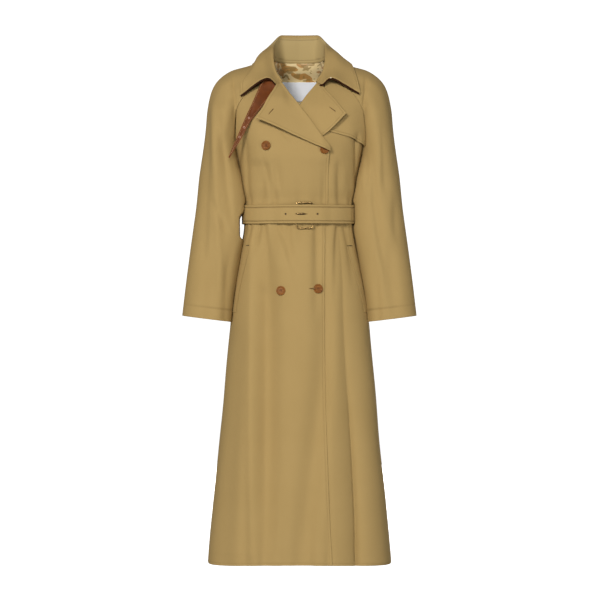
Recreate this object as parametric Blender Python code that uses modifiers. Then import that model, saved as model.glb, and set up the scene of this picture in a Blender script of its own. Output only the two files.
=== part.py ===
"""Double-breasted raglan trench coat, filled out as if worn, with its belt and loose throat latch.

Metres, +Z up. The front faces -Y and the wearer's left is +X. The origin is at the centre of the neck's
base, where the wearer's shoulders and neck carry the coat. Sizes below are in millimetres.
"""
import bmesh
import bpy
import math
import numpy as np

MM = 0.001

# Driving sizes
WALL = 1.5                # gabardine with its lining, as one wall
SEAM = 0.9                # gap between sewn pieces
LAYER = 2.3               # step from one cloth layer to the next, wall and gap
HEM_Z = -1218.0
HEM_DIP = 6.0             # how much lower the hem hangs at its sides
UNDERARM_Z = -235.0
CUFF_TILT = 16.0          # how much higher the cuff's outer end lies
BELT_Z = -360.5
BELT_DIP = 4.5            # how much lower the belt hangs at the front centre
BELT_WIDTH = 46.0
BELT_THICK = 2.4
BELT_CLEAR = 3.5          # from the body to the belt's inner face
BUCKLE_SIZE = (42.6, 66.0)
BUCKLE_BAR = (5.0, 3.0)   # width and thickness of the frame's bars
BUCKLE_CORNER = 9.0
BUCKLE_X = 12.6
BUCKLE_DROP = 3.2         # from the belt's middle to the frame's
PRONG = (2.4, 1.2, 27.0)  # radius at the bar, radius at the point, length
BUTTON_DIAMETER = 23.0
BUTTON_THICK = 4.2
BUTTON_CLEAR = 0.5
LATCH_THICK = 2.0
SLEEVE_COLUMNS = 18
COLLAR_RIBS = 26
TRIM_WALL = 1.2
LOOP_WALL = 1.3
LOOP_ANGLE = math.radians(116)   # the belt loops stand a little behind the side seams
LINING_CLEAR = 0.8        # from a wall's inner face to the skin that lines it
WELT_CLEAR = (0.45, 1.0)  # from the left and the right front to its pocket welt
WELT_TOP = -441.0
WELT_LENGTH = 165.0


def table(columns, rows):
    """Name the columns of a short table."""
    return dict(zip(columns.split(), np.array(rows, float).T))


# Sections of the body: half width and depth of the front and of the back, and how square they are
BODY = table("z front_width front_depth back_width back_depth square", [
    (-1230, 229, 151, 229, 151, 2.3),
    (-1214, 228, 150, 228, 150, 2.3),
    (-1075, 215, 145, 215, 146, 2.3),
    (-925, 199, 139, 199, 141, 2.3),
    (-725, 181, 131, 181, 135, 2.3),
    (-560, 164, 124, 164, 129, 2.3),
    (-440, 145, 112, 145, 112, 2.3),
    (-386, 135.5, 98.5, 135.5, 92.5, 2.3),
    (-335, 135.5, 98.5, 135.5, 92.5, 2.3),
    (-300, 145, 107, 145, 99, 2.4),
    (-235, 152, 116, 152, 107, 2.5),
    (-170, 166, 115, 163, 112, 2.7),
    (-114, 176, 106, 168, 112, 2.9),
    (-66, 200, 82, 160, 105, 3.0),
    (-32, 205, 59, 143, 97, 2.9),
    (0, 205, 37, 122, 87, 2.8),
    (38, 205, 16, 68, 72, 2.8)])

# Raglan seams: half width of the body panel at each height
FRONT_SEAM = table("z x", [(-235, 152), (-170, 158), (-114, 156), (-92, 148), (-66, 130), (-32, 101), (-2, 74)])
BACK_SEAM = table("z x", [(-235, 152), (-185, 157), (-135, 155), (-95, 146), (-50, 122), (-5, 88), (34, 51)])

# Front edges: x of each front's edge; above the break it is the lapel's roll line
OVER_EDGE = table("z x", [
    (-1214, 80), (-1080, 73), (-775, 64.5), (-425, 63.5), (-208, 71.5), (-173, 52.9), (-135, 29.3), (-86, -6.6),
    (-39, -44.4)])
UNDER_EDGE = table("z x", [
    (-1214, 60), (-300, 60), (-250, 56), (-205, 40), (-160, 22), (-120, 8), (-88, -9.8), (-41, -45.1)])
NECK_TOP = table("z x", [(-39, 44.4), (-20, 62), (-2, 70)])

# Main folds of the skirt and bodice: x at five heights, half width, and depth at those heights
FOLD_Z = np.array([-1214.0, -850.0, -600.0, -400.0, -250.0])
FOLDS = table("x0 x1 x2 x3 x4 wide d0 d1 d2 d3 d4", [
    (-92, -96, -97, -97, -92, 22, 2, 6, 6, 3, 3),
    (-22, 8, 28, 42, 44, 34, 7, 6, 5, 3, 2),
    (137, 126, 112, 101, 96, 17, 22, 15, 10, 5, 3),
    (-185, -168, -150, -128, -110, 24, 5, 5, 3, 0, 3)])
BACK_FOLDS = table("x0 x1 x2 x3 x4 wide d0 d1 d2 d3 d4", [
    (-120, -104, -92, -78, -70, 24, 14, 9, 5, 2, 3),
    (38, 30, 22, 16, 12, 30, 9, 6, 4, 2, 2),
    (140, 124, 108, 92, 80, 22, 12, 9, 6, 3, 2)])

# Sleeve: outer line and half depth from the neck down over the shoulder to the underarm, and the depth of
# the crease where the hanging arm folds the shoulder in front
CREASE_X = 165
SLEEVE_CAP = table("seam_z back_z outer_x outer_y outer_z front_y back_y crease", [
    (-2, 34, 68, 8, 38, 31, 53, 0),
    (-12, 14, 96, 8, 22, 42, 66, 0),
    (-24, -10, 130, 8, 9.5, 52, 76, 0),
    (-42, -40, 172, 6, -3, 64, 82, 3),
    (-66, -74, 203, 5, -26, 74, 86, 8),
    (-88, -105, 219, 4, -54, 80, 87, 8),
    (-112, -135, 229, 3, -100, 84, 86, 2),
    (-150, -165, 234, 2, -145, 82, 84, 0),
    (-192, -200, 240, 0, -195, 78, 80, 0)])
SLEEVE_TUBE = table("z inner_x outer_x centre_y front back", [
    (-235, 146, 245, -2, 75, 76),
    (-270, 137, 249.5, -4, 71, 72),
    (-337, 122, 257, -7, 67, 68),
    (-400, 126, 265, -10, 64, 65),
    (-485, 141, 276, -13, 60, 61),
    (-550, 151, 284, -16, 57, 57),
    (-622, 161, 292, -20, 54, 54)])
ARM_CLEAR = (2.2, 3.2, 11.5)   # from the body to a hanging sleeve: at the underarm, below it, and over the belt
TUBE_ROWS = 11

# Collar, right half, from the centre back (0) to the front end (1)
COLLAR_BASE = table("s x y z", [
    (0, 0, 71, 30), (.25, 32, 66, 31), (.45, 52, 47, 34), (.6, 63, 16, 34), (.72, 65, -10, 28), (.82, 66, -30, 12),
    (.92, 60, -46, -16), (1, 41, -57, -40)])
COLLAR_FOLD = table("s x y z", [
    (0, 0, 85, 99), (.25, 35, 76, 99), (.45, 57, 52, 86), (.6, 66, 20, 64), (.72, 67, -9, 49), (.82, 67, -31, 28),
    (.92, 60, -53, -6), (1, 43, -66, -33)])
COLLAR_MID = table("s x y z", [
    (0, 0, 112, 66), (.25, 46, 101, 66), (.45, 78, 66, 59), (.6, 85, 26, 51), (.72, 89, -10, 40), (.82, 92, -38, 24),
    (.92, 84, -64, -6), (1, 78, -89, -28)])
COLLAR_LOW = table("s x y z", [
    (0, 0, 121, 30), (.25, 56, 113, 30), (.45, 94, 78, 31), (.6, 101, 28, 32), (.72, 111, -12, 25), (.82, 119, -42, 6),
    (.92, 114, -68, -19), (1, 112, -88, -37)])
COLLAR_EDGE = table("s x y z", [
    (0, 0, 127, -6), (.25, 64, 124, -6), (.45, 109, 90, 3), (.6, 119, 30, 18), (.72, 129, -13, 15), (.82, 137, -46, -5),
    (.92, 144, -70, -36), (1, 149, -79, -67)])
FOLD_RADIUS = 4.0
COLLAR_ROWS = np.array([0, 1, 1.5, 2, 2.5, 3, 3.5, 3.86, 4])   # places along a rib from the fold to the edge

# Lapels: corners of the turned-out facing, as (x, z)
LAPEL_RIGHT = {"gorge": (-55.0, -48.1), "point": (-102.4, -131.6), "break": (71.5, -208.2), "lift": 7.0}
LAPEL_LEFT = {"gorge": (60.4, -46.9), "point": (116.1, -116.2), "break": (-38.0, -205.0), "lift": 5.0}

# Storm flap: its lower edge from the hidden end to the raglan seam
FLAP_EDGE = table("x z", [(62, -160), (72, -163), (103, -171), (122, -175), (140, -182), (160, -194)])

# Throat latch: centre line and half width, hanging from under the collar
LATCH = table("x y z half", [
    (-79, -76, -36, 15), (-76, -81, -53, 19), (-86, -88, -73, 17), (-104, -99, -104, 11.5), (-120, -103, -128, 8),
    (-135, -105, -153, 6), (-149, -106, -184, 5), (-169, -107, -223, 2.2)])

BUTTONS = {"button_chest_right": (-79.5, -198), "button_chest_left": (59.8, -207.5),
           "button_skirt_right": (-45.5, -552), "button_skirt_left": (46.8, -547)}

KHAKI = ((0.43, 0.29, 0.115), 0.85, 0.0)
LEATHER = ((0.17, 0.055, 0.025), 0.5, 0.0)
BRASS = ((0.72, 0.52, 0.22), 0.3, 1.0)
HORN = ((0.2, 0.07, 0.03), 0.4, 0.0)
LINING = ((0.38, 0.25, 0.1), 0.5, 0.0)
SATIN = ((0.7, 0.73, 0.77), 0.4, 0.0)


def curve(x, xs, ys):
    """Read a table column at x along a smooth curve that never overshoots its rows."""
    step = np.diff(xs)
    slope = np.diff(ys) / step
    tangent = np.zeros(len(xs))
    same = slope[1:] * slope[:-1] > 0
    tangent[1:-1][same] = (2 * slope[1:] * slope[:-1] / (slope[1:] + slope[:-1] + 1e-12))[same]
    tangent[0] = slope[0]
    tangent[-1] = slope[-1]
    x = np.clip(np.asarray(x, float), xs[0], xs[-1])
    k = np.clip(np.searchsorted(xs, x) - 1, 0, len(step) - 1)
    t = (x - xs[k]) / step[k]
    return ((1 + 2 * t) * (1 - t) ** 2 * ys[k] + t * (1 - t) ** 2 * step[k] * tangent[k]
            + t * t * (3 - 2 * t) * ys[k + 1] + t * t * (t - 1) * step[k] * tangent[k + 1])


def ramp(low, high, x):
    """Rise smoothly from 0 at low to 1 at high, which may be the lower of the two."""
    t = np.clip((np.asarray(x, float) - low) / (high - low), 0, 1)
    return t * t * (3 - 2 * t)


def read(rows, name, at, key="z"):
    """Read one named column of a table."""
    return curve(at, rows[key], rows[name])


def body_point(z, angle):
    """Point of the plain body at a height and an angle from the front centre towards +X."""
    front = np.cos(angle) >= 0
    width = np.where(front, read(BODY, "front_width", z), read(BODY, "back_width", z))
    depth = np.where(front, -read(BODY, "front_depth", z), read(BODY, "back_depth", z))
    power = 2 / read(BODY, "square", z)
    x = width * np.sign(np.sin(angle)) * np.abs(np.sin(angle)) ** power
    y = depth * np.abs(np.cos(angle)) ** power
    return np.stack([x, y, z * np.ones_like(x)], -1)


def body_normal(z, angle):
    """Outward direction of the plain body, from its slopes along both ways."""
    turn = body_point(z, angle + 0.01) - body_point(z, angle - 0.01)
    rise = body_point(z + 2.0, angle) - body_point(z - 2.0, angle)
    normal = np.cross(turn, rise)
    return normal / np.linalg.norm(normal, axis=-1, keepdims=True)


def angle_at(z, x, back=False):
    """Angle at which the body has the given x at a height."""
    width = read(BODY, "back_width" if back else "front_width", z)
    share = np.clip(np.abs(x) / width, 0, 1) ** (read(BODY, "square", z) / 2)
    angle = np.sign(x) * np.arcsin(share)
    return math.pi - angle if back else angle


def fold_depth(z, x, folds):
    """How far the main folds draw the cloth in: soft troughs that drift and deepen down the coat."""
    depth = np.zeros_like(x)
    for row in range(len(folds["wide"])):
        centre = curve(z, FOLD_Z, np.array([folds[f"x{k}"][row] for k in range(5)]))
        amount = curve(z, FOLD_Z, np.array([folds[f"d{k}"][row] for k in range(5)]))
        depth = depth + amount * np.exp(-((x - centre) / folds["wide"][row]) ** 2)
    calm = 1 - np.exp(-((z - BELT_Z) / 38) ** 2)
    return depth * calm * (1 - ramp(-250, -200, z))


def skin(z, angle, out=0.0):
    """Point of the body with its main folds, moved out along the body's normal."""
    z, angle = np.broadcast_arrays(np.asarray(z, float), np.asarray(angle, float))
    z = z - HEM_DIP * np.sin(angle) ** 2 * ramp(-1000, HEM_Z, z)
    point = body_point(z, angle)
    normal = body_normal(z, angle)
    folds = np.where(np.cos(angle) >= 0, fold_depth(z, point[..., 0], FOLDS),
                     fold_depth(z, point[..., 0], BACK_FOLDS))
    folds = folds * np.abs(np.cos(angle)) ** 0.35
    return point + normal * (np.asarray(out) - folds)[..., None]


def chest(x, z, out=0.0):
    """Point of the front at x and z, moved out."""
    z, x = np.broadcast_arrays(np.asarray(z, float), np.asarray(x, float))
    return skin(z, angle_at(z, x), out)


def stack_over(x, z):
    """How far the right front lies outside the body: over the left front, and over its lapel above the break."""
    side = ramp(-135, -98, x) * (1 - ramp(-60, -30, z))
    lapels = ramp(-250, -215, z) * (1 - ramp(-90, -45, z))
    return LAYER * side * (1 + lapels * (1 + ramp(38, 54, x)))


# ---- building meshes ---------------------------------------------------------------------------------------

def dress(item, look):
    """Give an object its own plain material."""
    colour, roughness, metallic = look
    material = bpy.data.materials.new(item.name)
    material.use_nodes = True
    shader = material.node_tree.nodes["Principled BSDF"]
    shader.inputs["Base Color"].default_value = (*colour, 1)
    shader.inputs["Roughness"].default_value = roughness
    shader.inputs["Metallic"].default_value = metallic
    item.data.materials.append(material)


def place(name, mesh, look):
    """Put a mesh in the coat's collection under a name."""
    item = bpy.data.objects.new(name, mesh)
    bpy.data.collections["trench_coat"].objects.link(item)
    dress(item, look)
    return item


def shell(name, points, look, wall=WALL, merge=False):
    """Make a wall from a grid of outer points: columns run round to +X, rows run up."""
    rows, columns = points.shape[:2]
    index = np.arange(rows * columns).reshape(rows, columns)
    quads = np.stack([index[:-1, :-1], index[:-1, 1:], index[1:, 1:], index[1:, :-1]], -1).reshape(-1, 4)
    mesh = bpy.data.meshes.new(name)
    mesh.from_pydata((points.reshape(-1, 3) * MM).tolist(), [], quads.tolist())
    if merge:
        form = bmesh.new()
        form.from_mesh(mesh)
        bmesh.ops.remove_doubles(form, verts=form.verts, dist=0.00002)
        form.to_mesh(mesh)
        form.free()
    item = place(name, mesh, look)
    for polygon in mesh.polygons:
        polygon.use_smooth = True
    solid = item.modifiers.new("wall", "SOLIDIFY")
    solid.thickness = wall * MM
    solid.offset = -1
    solid.use_even_offset = True
    solid.use_quality_normals = True
    return item


def mirrored(points):
    """Mirror a grid to the other side and keep its columns running the same way round."""
    return points[:, ::-1] * np.array([-1.0, 1.0, 1.0])


def seam_angle(z, seam, back):
    """Angle of a body panel's side edge, on the side seam below the underarm, less the seam's gap."""
    x = np.where(z < UNDERARM_Z, 1e4, curve(z, seam["z"], seam["x"]))
    angle = angle_at(z, x, back)
    reach = np.linalg.norm(body_point(z, angle + 0.02) - body_point(z, angle - 0.02), axis=-1) / 0.04
    trim = SEAM / 2 / reach
    return angle + trim if back else angle - trim


FRONT_Z = np.array([
    HEM_Z, -1110, -1000, -890, -780, -680, -590, -515, -455, -415, -385, -361, -337, -310, -275, -235, -208, -185, -160,
    -135, -110, -86, -64, -39, -20, -5])


def build_front(name, side, edge, columns, stack):
    """One front, from its edge or roll line to the side seam and raglan seam."""
    z = FRONT_Z[:, None]
    below = curve(z, edge["z"], edge["x"])
    inner = np.where(z < edge["z"][-1], below, -read(NECK_TOP, "x", z))
    start = -angle_at(z, inner)
    end = seam_angle(z, FRONT_SEAM, False)
    share = np.linspace(0, 1, columns)[None, :]
    angle = side * (start + (end - start) * share)
    if side < 0:
        angle = angle[:, ::-1]
    out = stack(body_point(z + 0 * angle, angle)[..., 0], z + 0 * angle)
    return shell(name, skin(z + 0 * angle, angle, out), KHAKI)


def build_back():
    """The back, from side seam to side seam and between the raglan seams up to the neck."""
    z = np.concatenate([FRONT_Z[:-3], [-39, -12, 14, 30]])[:, None]
    start = seam_angle(z, BACK_SEAM, True)
    share = np.linspace(0, 1, 21)[None, :]
    angle = start + (2 * math.pi - 2 * start) * share
    return shell("back", skin(z + 0 * angle, angle), KHAKI)


def sleeve_row(start, outer, end, front, back, columns=SLEEVE_COLUMNS):
    """One section of a sleeve: half an oval from its front seam to the outer line, and half to its back seam."""
    halves = []
    for seam, depth, sign in ((start, front, -1), (end, back, 1)):
        reach = abs(seam[1] - outer[1])
        depth = max(depth, reach + 0.01)
        first = -math.acos(min(reach / depth, 1))
        turn = np.linspace(first, math.pi / 2, columns // 2 + 1)
        share = ((np.sin(turn) - math.sin(first)) / (1 - math.sin(first)))[:, None]
        points = np.array(seam) + (np.array(outer) - np.array(seam)) * share
        points[:, 1] = outer[1] + sign * depth * np.cos(turn)
        halves.append(points)
    return np.concatenate([halves[0], halves[1][-2::-1]])


def beside_body(points):
    """Lay a sleeve's inner side against the body: no point comes nearer to it than the clearance."""
    y, z = points[:, 1], points[:, 2]
    depth = np.where(y < 0, read(BODY, "front_depth", z), read(BODY, "back_depth", z))
    square = read(BODY, "square", z)
    side = read(BODY, "front_width", z) * (1 - np.clip(np.abs(y) / depth, 0, 0.999) ** square) ** (1 / square)
    belt = ramp(62, 36, np.abs(z - BELT_Z))
    clear = ARM_CLEAR[0] + (ARM_CLEAR[1] - ARM_CLEAR[0]) * ramp(-235, -270, z) + (ARM_CLEAR[2] - ARM_CLEAR[1]) * belt
    return np.stack([np.maximum(points[:, 0], side + clear), y, z], -1)


def sleeve_grid():
    """All sections of the left sleeve, from the cuff up the arm and over the shoulder to the neck."""
    rows = []
    heights = np.linspace(SLEEVE_TUBE["z"][-1], SLEEVE_TUBE["z"][0], TUBE_ROWS)
    tube = {name: values[::-1] for name, values in SLEEVE_TUBE.items()}
    for z in heights:
        inner, outer, centre, front, back = (
            float(read(tube, name, z)) for name in ("inner_x", "outer_x", "centre_y", "front", "back"))
        tilt = CUFF_TILT / 2 * float(1 - ramp(-622, -400, z))
        first = (inner, centre, z - tilt)
        rows.append(beside_body(sleeve_row(first, (outer, centre, z + tilt), first, front, back)))
    for row in range(len(SLEEVE_CAP["seam_z"]) - 1, -1, -1):
        cap = {name: float(values[row]) for name, values in SLEEVE_CAP.items()}
        first = chest(read(FRONT_SEAM, "x", cap["seam_z"]), cap["seam_z"])
        last_angle = angle_at(cap["back_z"], read(BACK_SEAM, "x", cap["back_z"]), True)
        last = skin(cap["back_z"], last_angle)
        outer = (cap["outer_x"], cap["outer_y"], cap["outer_z"])
        section = sleeve_row(first + (SEAM / 2, 0, 0), outer, last + (SEAM, 0, 0), cap["front_y"], cap["back_y"])
        x = section[:, 0]
        trough = np.exp(-((x - CREASE_X) / 14) ** 2) * (1 - np.exp(-((x - x[0]) / 8) ** 2)) * (section[:, 1] < 0)
        section[:, 1] += cap["crease"] * trough
        rows.append(section)
    return np.array(rows)


def spline(points, at):
    """Points of a smooth curve through the given ones (Catmull-Rom), read at places counted in those points."""
    points = np.asarray(points, float)
    ends = np.concatenate([[2 * points[0] - points[1]], points, [2 * points[-1] - points[-2]]])
    k = np.minimum(at.astype(int), len(points) - 2)
    t = (at - k)[:, None]
    a, b, c, d = (ends[k + j] for j in range(4))
    return 0.5 * (2 * b + (c - a) * t + (2 * a - 5 * b + 4 * c - d) * t ** 2 + (3 * b - a - 3 * c + d) * t ** 3)


def collar_rib(s):
    """One rib of the collar, from the neck seam up the stand, over the fold and down the leaf."""
    base, fold, mid, low, edge = (
        np.array([float(read(rows, axis, s, "s")) for axis in "xyz"])
        for rows in (COLLAR_BASE, COLLAR_FOLD, COLLAR_MID, COLLAR_LOW, COLLAR_EDGE))
    away = (mid - fold) * (1, 1, 0)
    away = away / np.linalg.norm(away)
    radius = FOLD_RADIUS - 0.8 * float(ramp(0.8, 1, s))
    inner = fold - away * radius - (0, 0, radius)
    outer = fold + away * radius - (0, 0, radius * 0.6)
    stand = base + (inner - base) * 0.55
    return np.concatenate([[base, stand, inner], spline([fold, outer, mid, low, edge], COLLAR_ROWS)])


def collar_grid():
    """Ribs of the collar, from its right front end round the back of the neck to its left front end."""
    stations = np.append(np.linspace(0, 0.93, COLLAR_RIBS // 2 - 1), [0.97, 1.0])
    half = np.array([collar_rib(s) for s in stations])
    other = half[:0:-1] * np.array([-1.0, 1.0, 1.0])
    return np.concatenate([other, half]).transpose(1, 0, 2)


def build_collar():
    """The collar, and the leather under collar that backs its leaf."""
    grid = collar_grid()
    shell("collar", grid, KHAKI)
    normal = np.cross(np.gradient(grid, axis=1), np.gradient(grid, axis=0))
    normal /= np.linalg.norm(normal, axis=-1, keepdims=True)
    backing = grid - normal * (WALL + LINING_CLEAR)
    shell("under_collar", backing[4:-1, 1:-1], LEATHER, wall=TRIM_WALL)


def lapel_grid(corners, edge, side, rows=9, columns=9, sink=0.0):
    """The turned-out facing between its roll line and its gorge, outer edge and point, as x, z and lift share."""
    top_z = edge["z"][-1]
    break_x, break_z = corners["break"]
    down = np.linspace(0, 1, rows)[:, None]
    across = np.linspace(0, 1, columns)[None, :]
    roll_z = top_z + (break_z - top_z) * down
    roll_x = curve(roll_z, edge["z"], edge["x"]) * (1 if side < 0 else -1)
    outer_x = corners["gorge"][0] + (corners["point"][0] - corners["gorge"][0]) * down
    outer_z = corners["gorge"][1] + (corners["point"][1] - corners["gorge"][1]) * down
    x = roll_x + (outer_x - roll_x) * across
    z = roll_z + (outer_z - roll_z) * across - sink * down ** 3 * 4 * across * (1 - across)
    return x, z, across ** 1.5 * (0.35 + 0.65 * down)


def build_lapels():
    """Both lapels: the right one over the right front, the left one over the left front and the storm flap."""
    x, z, lift = lapel_grid(LAPEL_RIGHT, OVER_EDGE, -1)
    button_x, button_z = BUTTONS["button_chest_left"]
    over_button = 7.5 * np.exp(-((x - button_x) ** 2 + (z - button_z - 3.5) ** 2) / 20 ** 2)
    over_latch = 5 * ramp(-112, -84, z) * ramp(-22, -44, x)
    out = stack_over(x, z) + LAYER + LAPEL_RIGHT["lift"] * lift + over_button + over_latch
    points = chest(x, z, out)
    shell("lapel_right", points[::-1, ::-1], KHAKI)
    x, z, lift = lapel_grid(LAPEL_LEFT, UNDER_EDGE, 1, sink=26)
    points = chest(x, z, LAYER * (1 + ramp(44, 58, x)) + LAPEL_LEFT["lift"] * lift * ramp(56, 92, x))
    shell("lapel_left", points[::-1], KHAKI)


def build_storm_flap():
    """The flap over the left chest, sewn in at the raglan seam, hidden end under the lapel."""
    across = np.linspace(0, 1, 11)[None, :]
    up = np.linspace(0, 1, 8)[:, None]
    low = curve(62 + 98 * across, FLAP_EDGE["x"], FLAP_EDGE["z"])
    z = low + (-14 - low) * up
    left = 62 + 0 * z
    right = curve(z, FRONT_SEAM["z"], FRONT_SEAM["x"]) - 2.2
    left = np.minimum(left, right - 14)
    x = left + (right - left) * across
    lift = 3 * (1 - up) ** 2 * across ** 2
    shell("storm_flap", chest(x, z, LAYER + lift), KHAKI)


def build_latch():
    """The leather throat latch, hanging loose from under the collar."""
    at = np.linspace(0, 1, 12)
    key = np.linspace(0, 1, len(LATCH["x"]))
    middle = np.stack([curve(at, key, LATCH[axis]) for axis in "xyz"], -1)
    half = curve(at, key, LATCH["half"])[:, None]
    along = np.gradient(middle, axis=0)
    across = np.stack([-along[:, 2], 0 * along[:, 1], along[:, 0]], -1)
    across = across / np.linalg.norm(across, axis=1, keepdims=True)
    points = middle[:, None] + across[:, None] * half[:, None] * np.array([-1, -0.33, 0.33, 1])[None, :, None]
    x, z = points[..., 0], points[..., 2]
    reach = np.maximum(x, -128)
    slope = np.abs(body_normal(z, angle_at(z, reach))[..., 1])
    lying = chest(reach, z)[..., 1] - (stack_over(x, z) + LATCH_THICK + 1.6) / slope
    points[..., 1] = np.minimum(points[..., 1], lying)
    shell("throat_latch", points[::-1, ::-1] if across[0, 0] < 0 else points[::-1], LEATHER, wall=LATCH_THICK)


def belt_out(turn):
    """How far the belt's inner face lies outside the body along its way round, in turns from the front centre."""
    buckle = ramp(0.93, 0.97, turn) * (BELT_THICK + BUCKLE_BAR[1] + 1.8)
    tail = ramp(1.05, 1.085, turn) * (BUCKLE_BAR[1] + 0.9)
    return BELT_CLEAR + buckle - tail


def build_belt():
    """The belt: from the buckle round the back and over the buckle again to its tucked end."""
    turn = np.concatenate([[0.02], np.linspace(0.05, 0.92, 44), np.linspace(0.935, 1.165, 18)])
    angle = turn * 2 * math.pi
    height = np.linspace(-0.5, 0.5, 2)[:, None] * BELT_WIDTH
    z = BELT_Z + height - BELT_DIP * np.cos(angle / 2) ** 2
    base = body_point(BELT_Z + 0 * z, angle + 0 * z)
    normal = body_normal(BELT_Z + 0 * z, angle + 0 * z)
    normal[..., 2] = 0
    normal /= np.linalg.norm(normal, axis=-1, keepdims=True)
    points = base + normal * (belt_out(turn) + BELT_THICK)[None, :, None]
    points[..., 2] = z
    shell("belt", points, KHAKI, wall=BELT_THICK)


def bar_loop(width, height, bar, thick):
    """Outer and inner outline of a frame with rounded corners, as a flat mesh."""
    form = bmesh.new()
    loops = []
    for grow in (0.0, -bar):
        radius = BUCKLE_CORNER + grow
        ring = []
        for quarter in range(4):
            centre_x = (width / 2 - BUCKLE_CORNER) * (1 if quarter in (0, 3) else -1)
            centre_z = (height / 2 - BUCKLE_CORNER) * (1 if quarter in (0, 1) else -1)
            for step in range(5):
                way = (quarter + step / 4) * math.pi / 2
                ring.append(form.verts.new((
                    (centre_x + radius * math.cos(way)) * MM, 0, (centre_z + radius * math.sin(way)) * MM)))
        loops.append(ring)
    count = len(loops[0])
    for k in range(count):
        after = (k + 1) % count
        form.faces.new((loops[0][k], loops[0][after], loops[1][after], loops[1][k]))
    mesh = bpy.data.meshes.new("buckle_frame")
    bmesh.ops.recalc_face_normals(form, faces=form.faces)
    for face in form.faces:
        if face.normal.y > 0:
            face.normal_flip()
    form.to_mesh(mesh)
    form.free()
    return mesh


def build_buckle():
    """The brass buckle: its frame between the belt's two layers, its prong over the upper one."""
    front = body_point(np.array([BELT_Z]), np.array([0.0]))[0, 1]
    frame_y = front - (BELT_CLEAR + BELT_THICK + 0.6 + BUCKLE_BAR[1])
    frame = place("buckle_frame", bar_loop(*BUCKLE_SIZE, *BUCKLE_BAR), BRASS)
    frame.location = (BUCKLE_X * MM, frame_y * MM, (BELT_Z - BELT_DIP - BUCKLE_DROP) * MM)
    frame.rotation_euler = (0, 0, math.radians(2.3))
    solid = frame.modifiers.new("bar", "SOLIDIFY")
    solid.thickness = BUCKLE_BAR[1] * MM
    solid.offset = -1
    form = bmesh.new()
    thick, thin, length = (size * MM for size in PRONG)
    bmesh.ops.create_cone(form, cap_ends=True, segments=10, radius1=thick, radius2=thin, depth=length)
    mesh = bpy.data.meshes.new("buckle_prong")
    form.to_mesh(mesh)
    form.free()
    prong = place("buckle_prong", mesh, BRASS)
    prong_y = frame_y - BELT_THICK - 4.2
    prong.location = (5.0 * MM, prong_y * MM, (BELT_Z - BELT_DIP) * MM)
    prong.rotation_euler = (0, math.pi / 2, 0)


def build_loops():
    """Belt loops standing over the belt at both side seams."""
    for name, side in (("belt_loop_left", 1), ("belt_loop_right", -1)):
        z = BELT_Z + np.array([-30, -27.5, -25, 25, 27.5, 30])[:, None]
        out = np.array([3.0, 3.0, 1.0, 1.0, 3.0, 3.0])
        out[2:4] = BELT_CLEAR + BELT_THICK + 0.6 + LOOP_WALL
        angle = LOOP_ANGLE * side + np.linspace(-0.075, 0.075, 3)[None, :]
        z = z + 0 * angle
        points = body_point(z, angle + 0 * z) + body_normal(BELT_Z + 0 * z, angle + 0 * z) * out[:, None, None]
        shell(name, points, KHAKI, wall=LOOP_WALL)


def build_welts():
    """Slanted pocket welts on the skirt, near the side seams."""
    down = np.linspace(0, 1, 9)[:, None]
    across = np.linspace(-1, 1, 4)[None, :]
    for name, side, clear in (("pocket_welt_left", 1, WELT_CLEAR[0]), ("pocket_welt_right", -1, WELT_CLEAR[1])):
        z = WELT_TOP - WELT_LENGTH * down + 0 * across
        middle = math.radians(58) + math.radians(13) * down
        angle = side * middle + math.radians(5.2) * across
        shell(name, skin(z, angle, TRIM_WALL + clear)[::-1], KHAKI, wall=TRIM_WALL)


def build_buttons():
    """Domed buttons with a raised rim, each lying against its front."""
    radius = BUTTON_DIAMETER / 2
    profile = [(0.001, 3.0), (7.2, 2.6), (9.4, BUTTON_THICK), (radius, 2.6), (radius - 1.5, 0.0), (0.001, 0.0)]
    for name, (x, z) in BUTTONS.items():
        form = bmesh.new()
        verts = [form.verts.new((r * MM, 0, h * MM)) for r, h in profile]
        for first, second in zip(verts, verts[1:]):
            form.edges.new((first, second))
        mesh = bpy.data.meshes.new(name)
        form.to_mesh(mesh)
        form.free()
        button = place(name, mesh, HORN)
        turn = button.modifiers.new("turn", "SCREW")
        turn.steps = turn.render_steps = 16
        turn.use_merge_vertices = True
        turn.merge_threshold = 0.00005
        weld = button.modifiers.new("weld", "WELD")
        weld.merge_threshold = 0.00005
        out = stack_over(x, z) + BUTTON_CLEAR
        normal = body_normal(np.array([z]), angle_at(np.array([z]), x))[0]
        button.location = chest(np.array(x), np.array(z), out) * MM
        tilt = math.atan2(math.hypot(normal[0], normal[1]), normal[2])
        button.rotation_euler = (0, tilt, math.atan2(normal[1], normal[0]))


def build_lining():
    """The lining inside the upper back, where the open neck shows it, and the bare label sewn on it."""
    z = np.array([-150, -120, -90, -60, -32, -8, 12, 25])[:, None]
    angle = math.pi + np.linspace(0.95, -0.95, 13)[None, ::-1] * (0.55 + 0.45 * ramp(30, -60, z))
    points = body_point(z + 0 * angle, angle) - body_normal(z + 0 * angle, angle) * (WALL + LINING_CLEAR)
    shell("lining", points, LINING, wall=TRIM_WALL)
    z = np.array([-67, -43, -18.5])[:, None]
    angle = math.pi + np.linspace(-0.29, 0.29, 5)[None, :]
    points = body_point(z + 0 * angle, angle) - body_normal(z + 0 * angle, angle) * (WALL + TRIM_WALL + 2 * LINING_CLEAR)
    shell("label", points, SATIN, wall=0.8)


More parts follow.
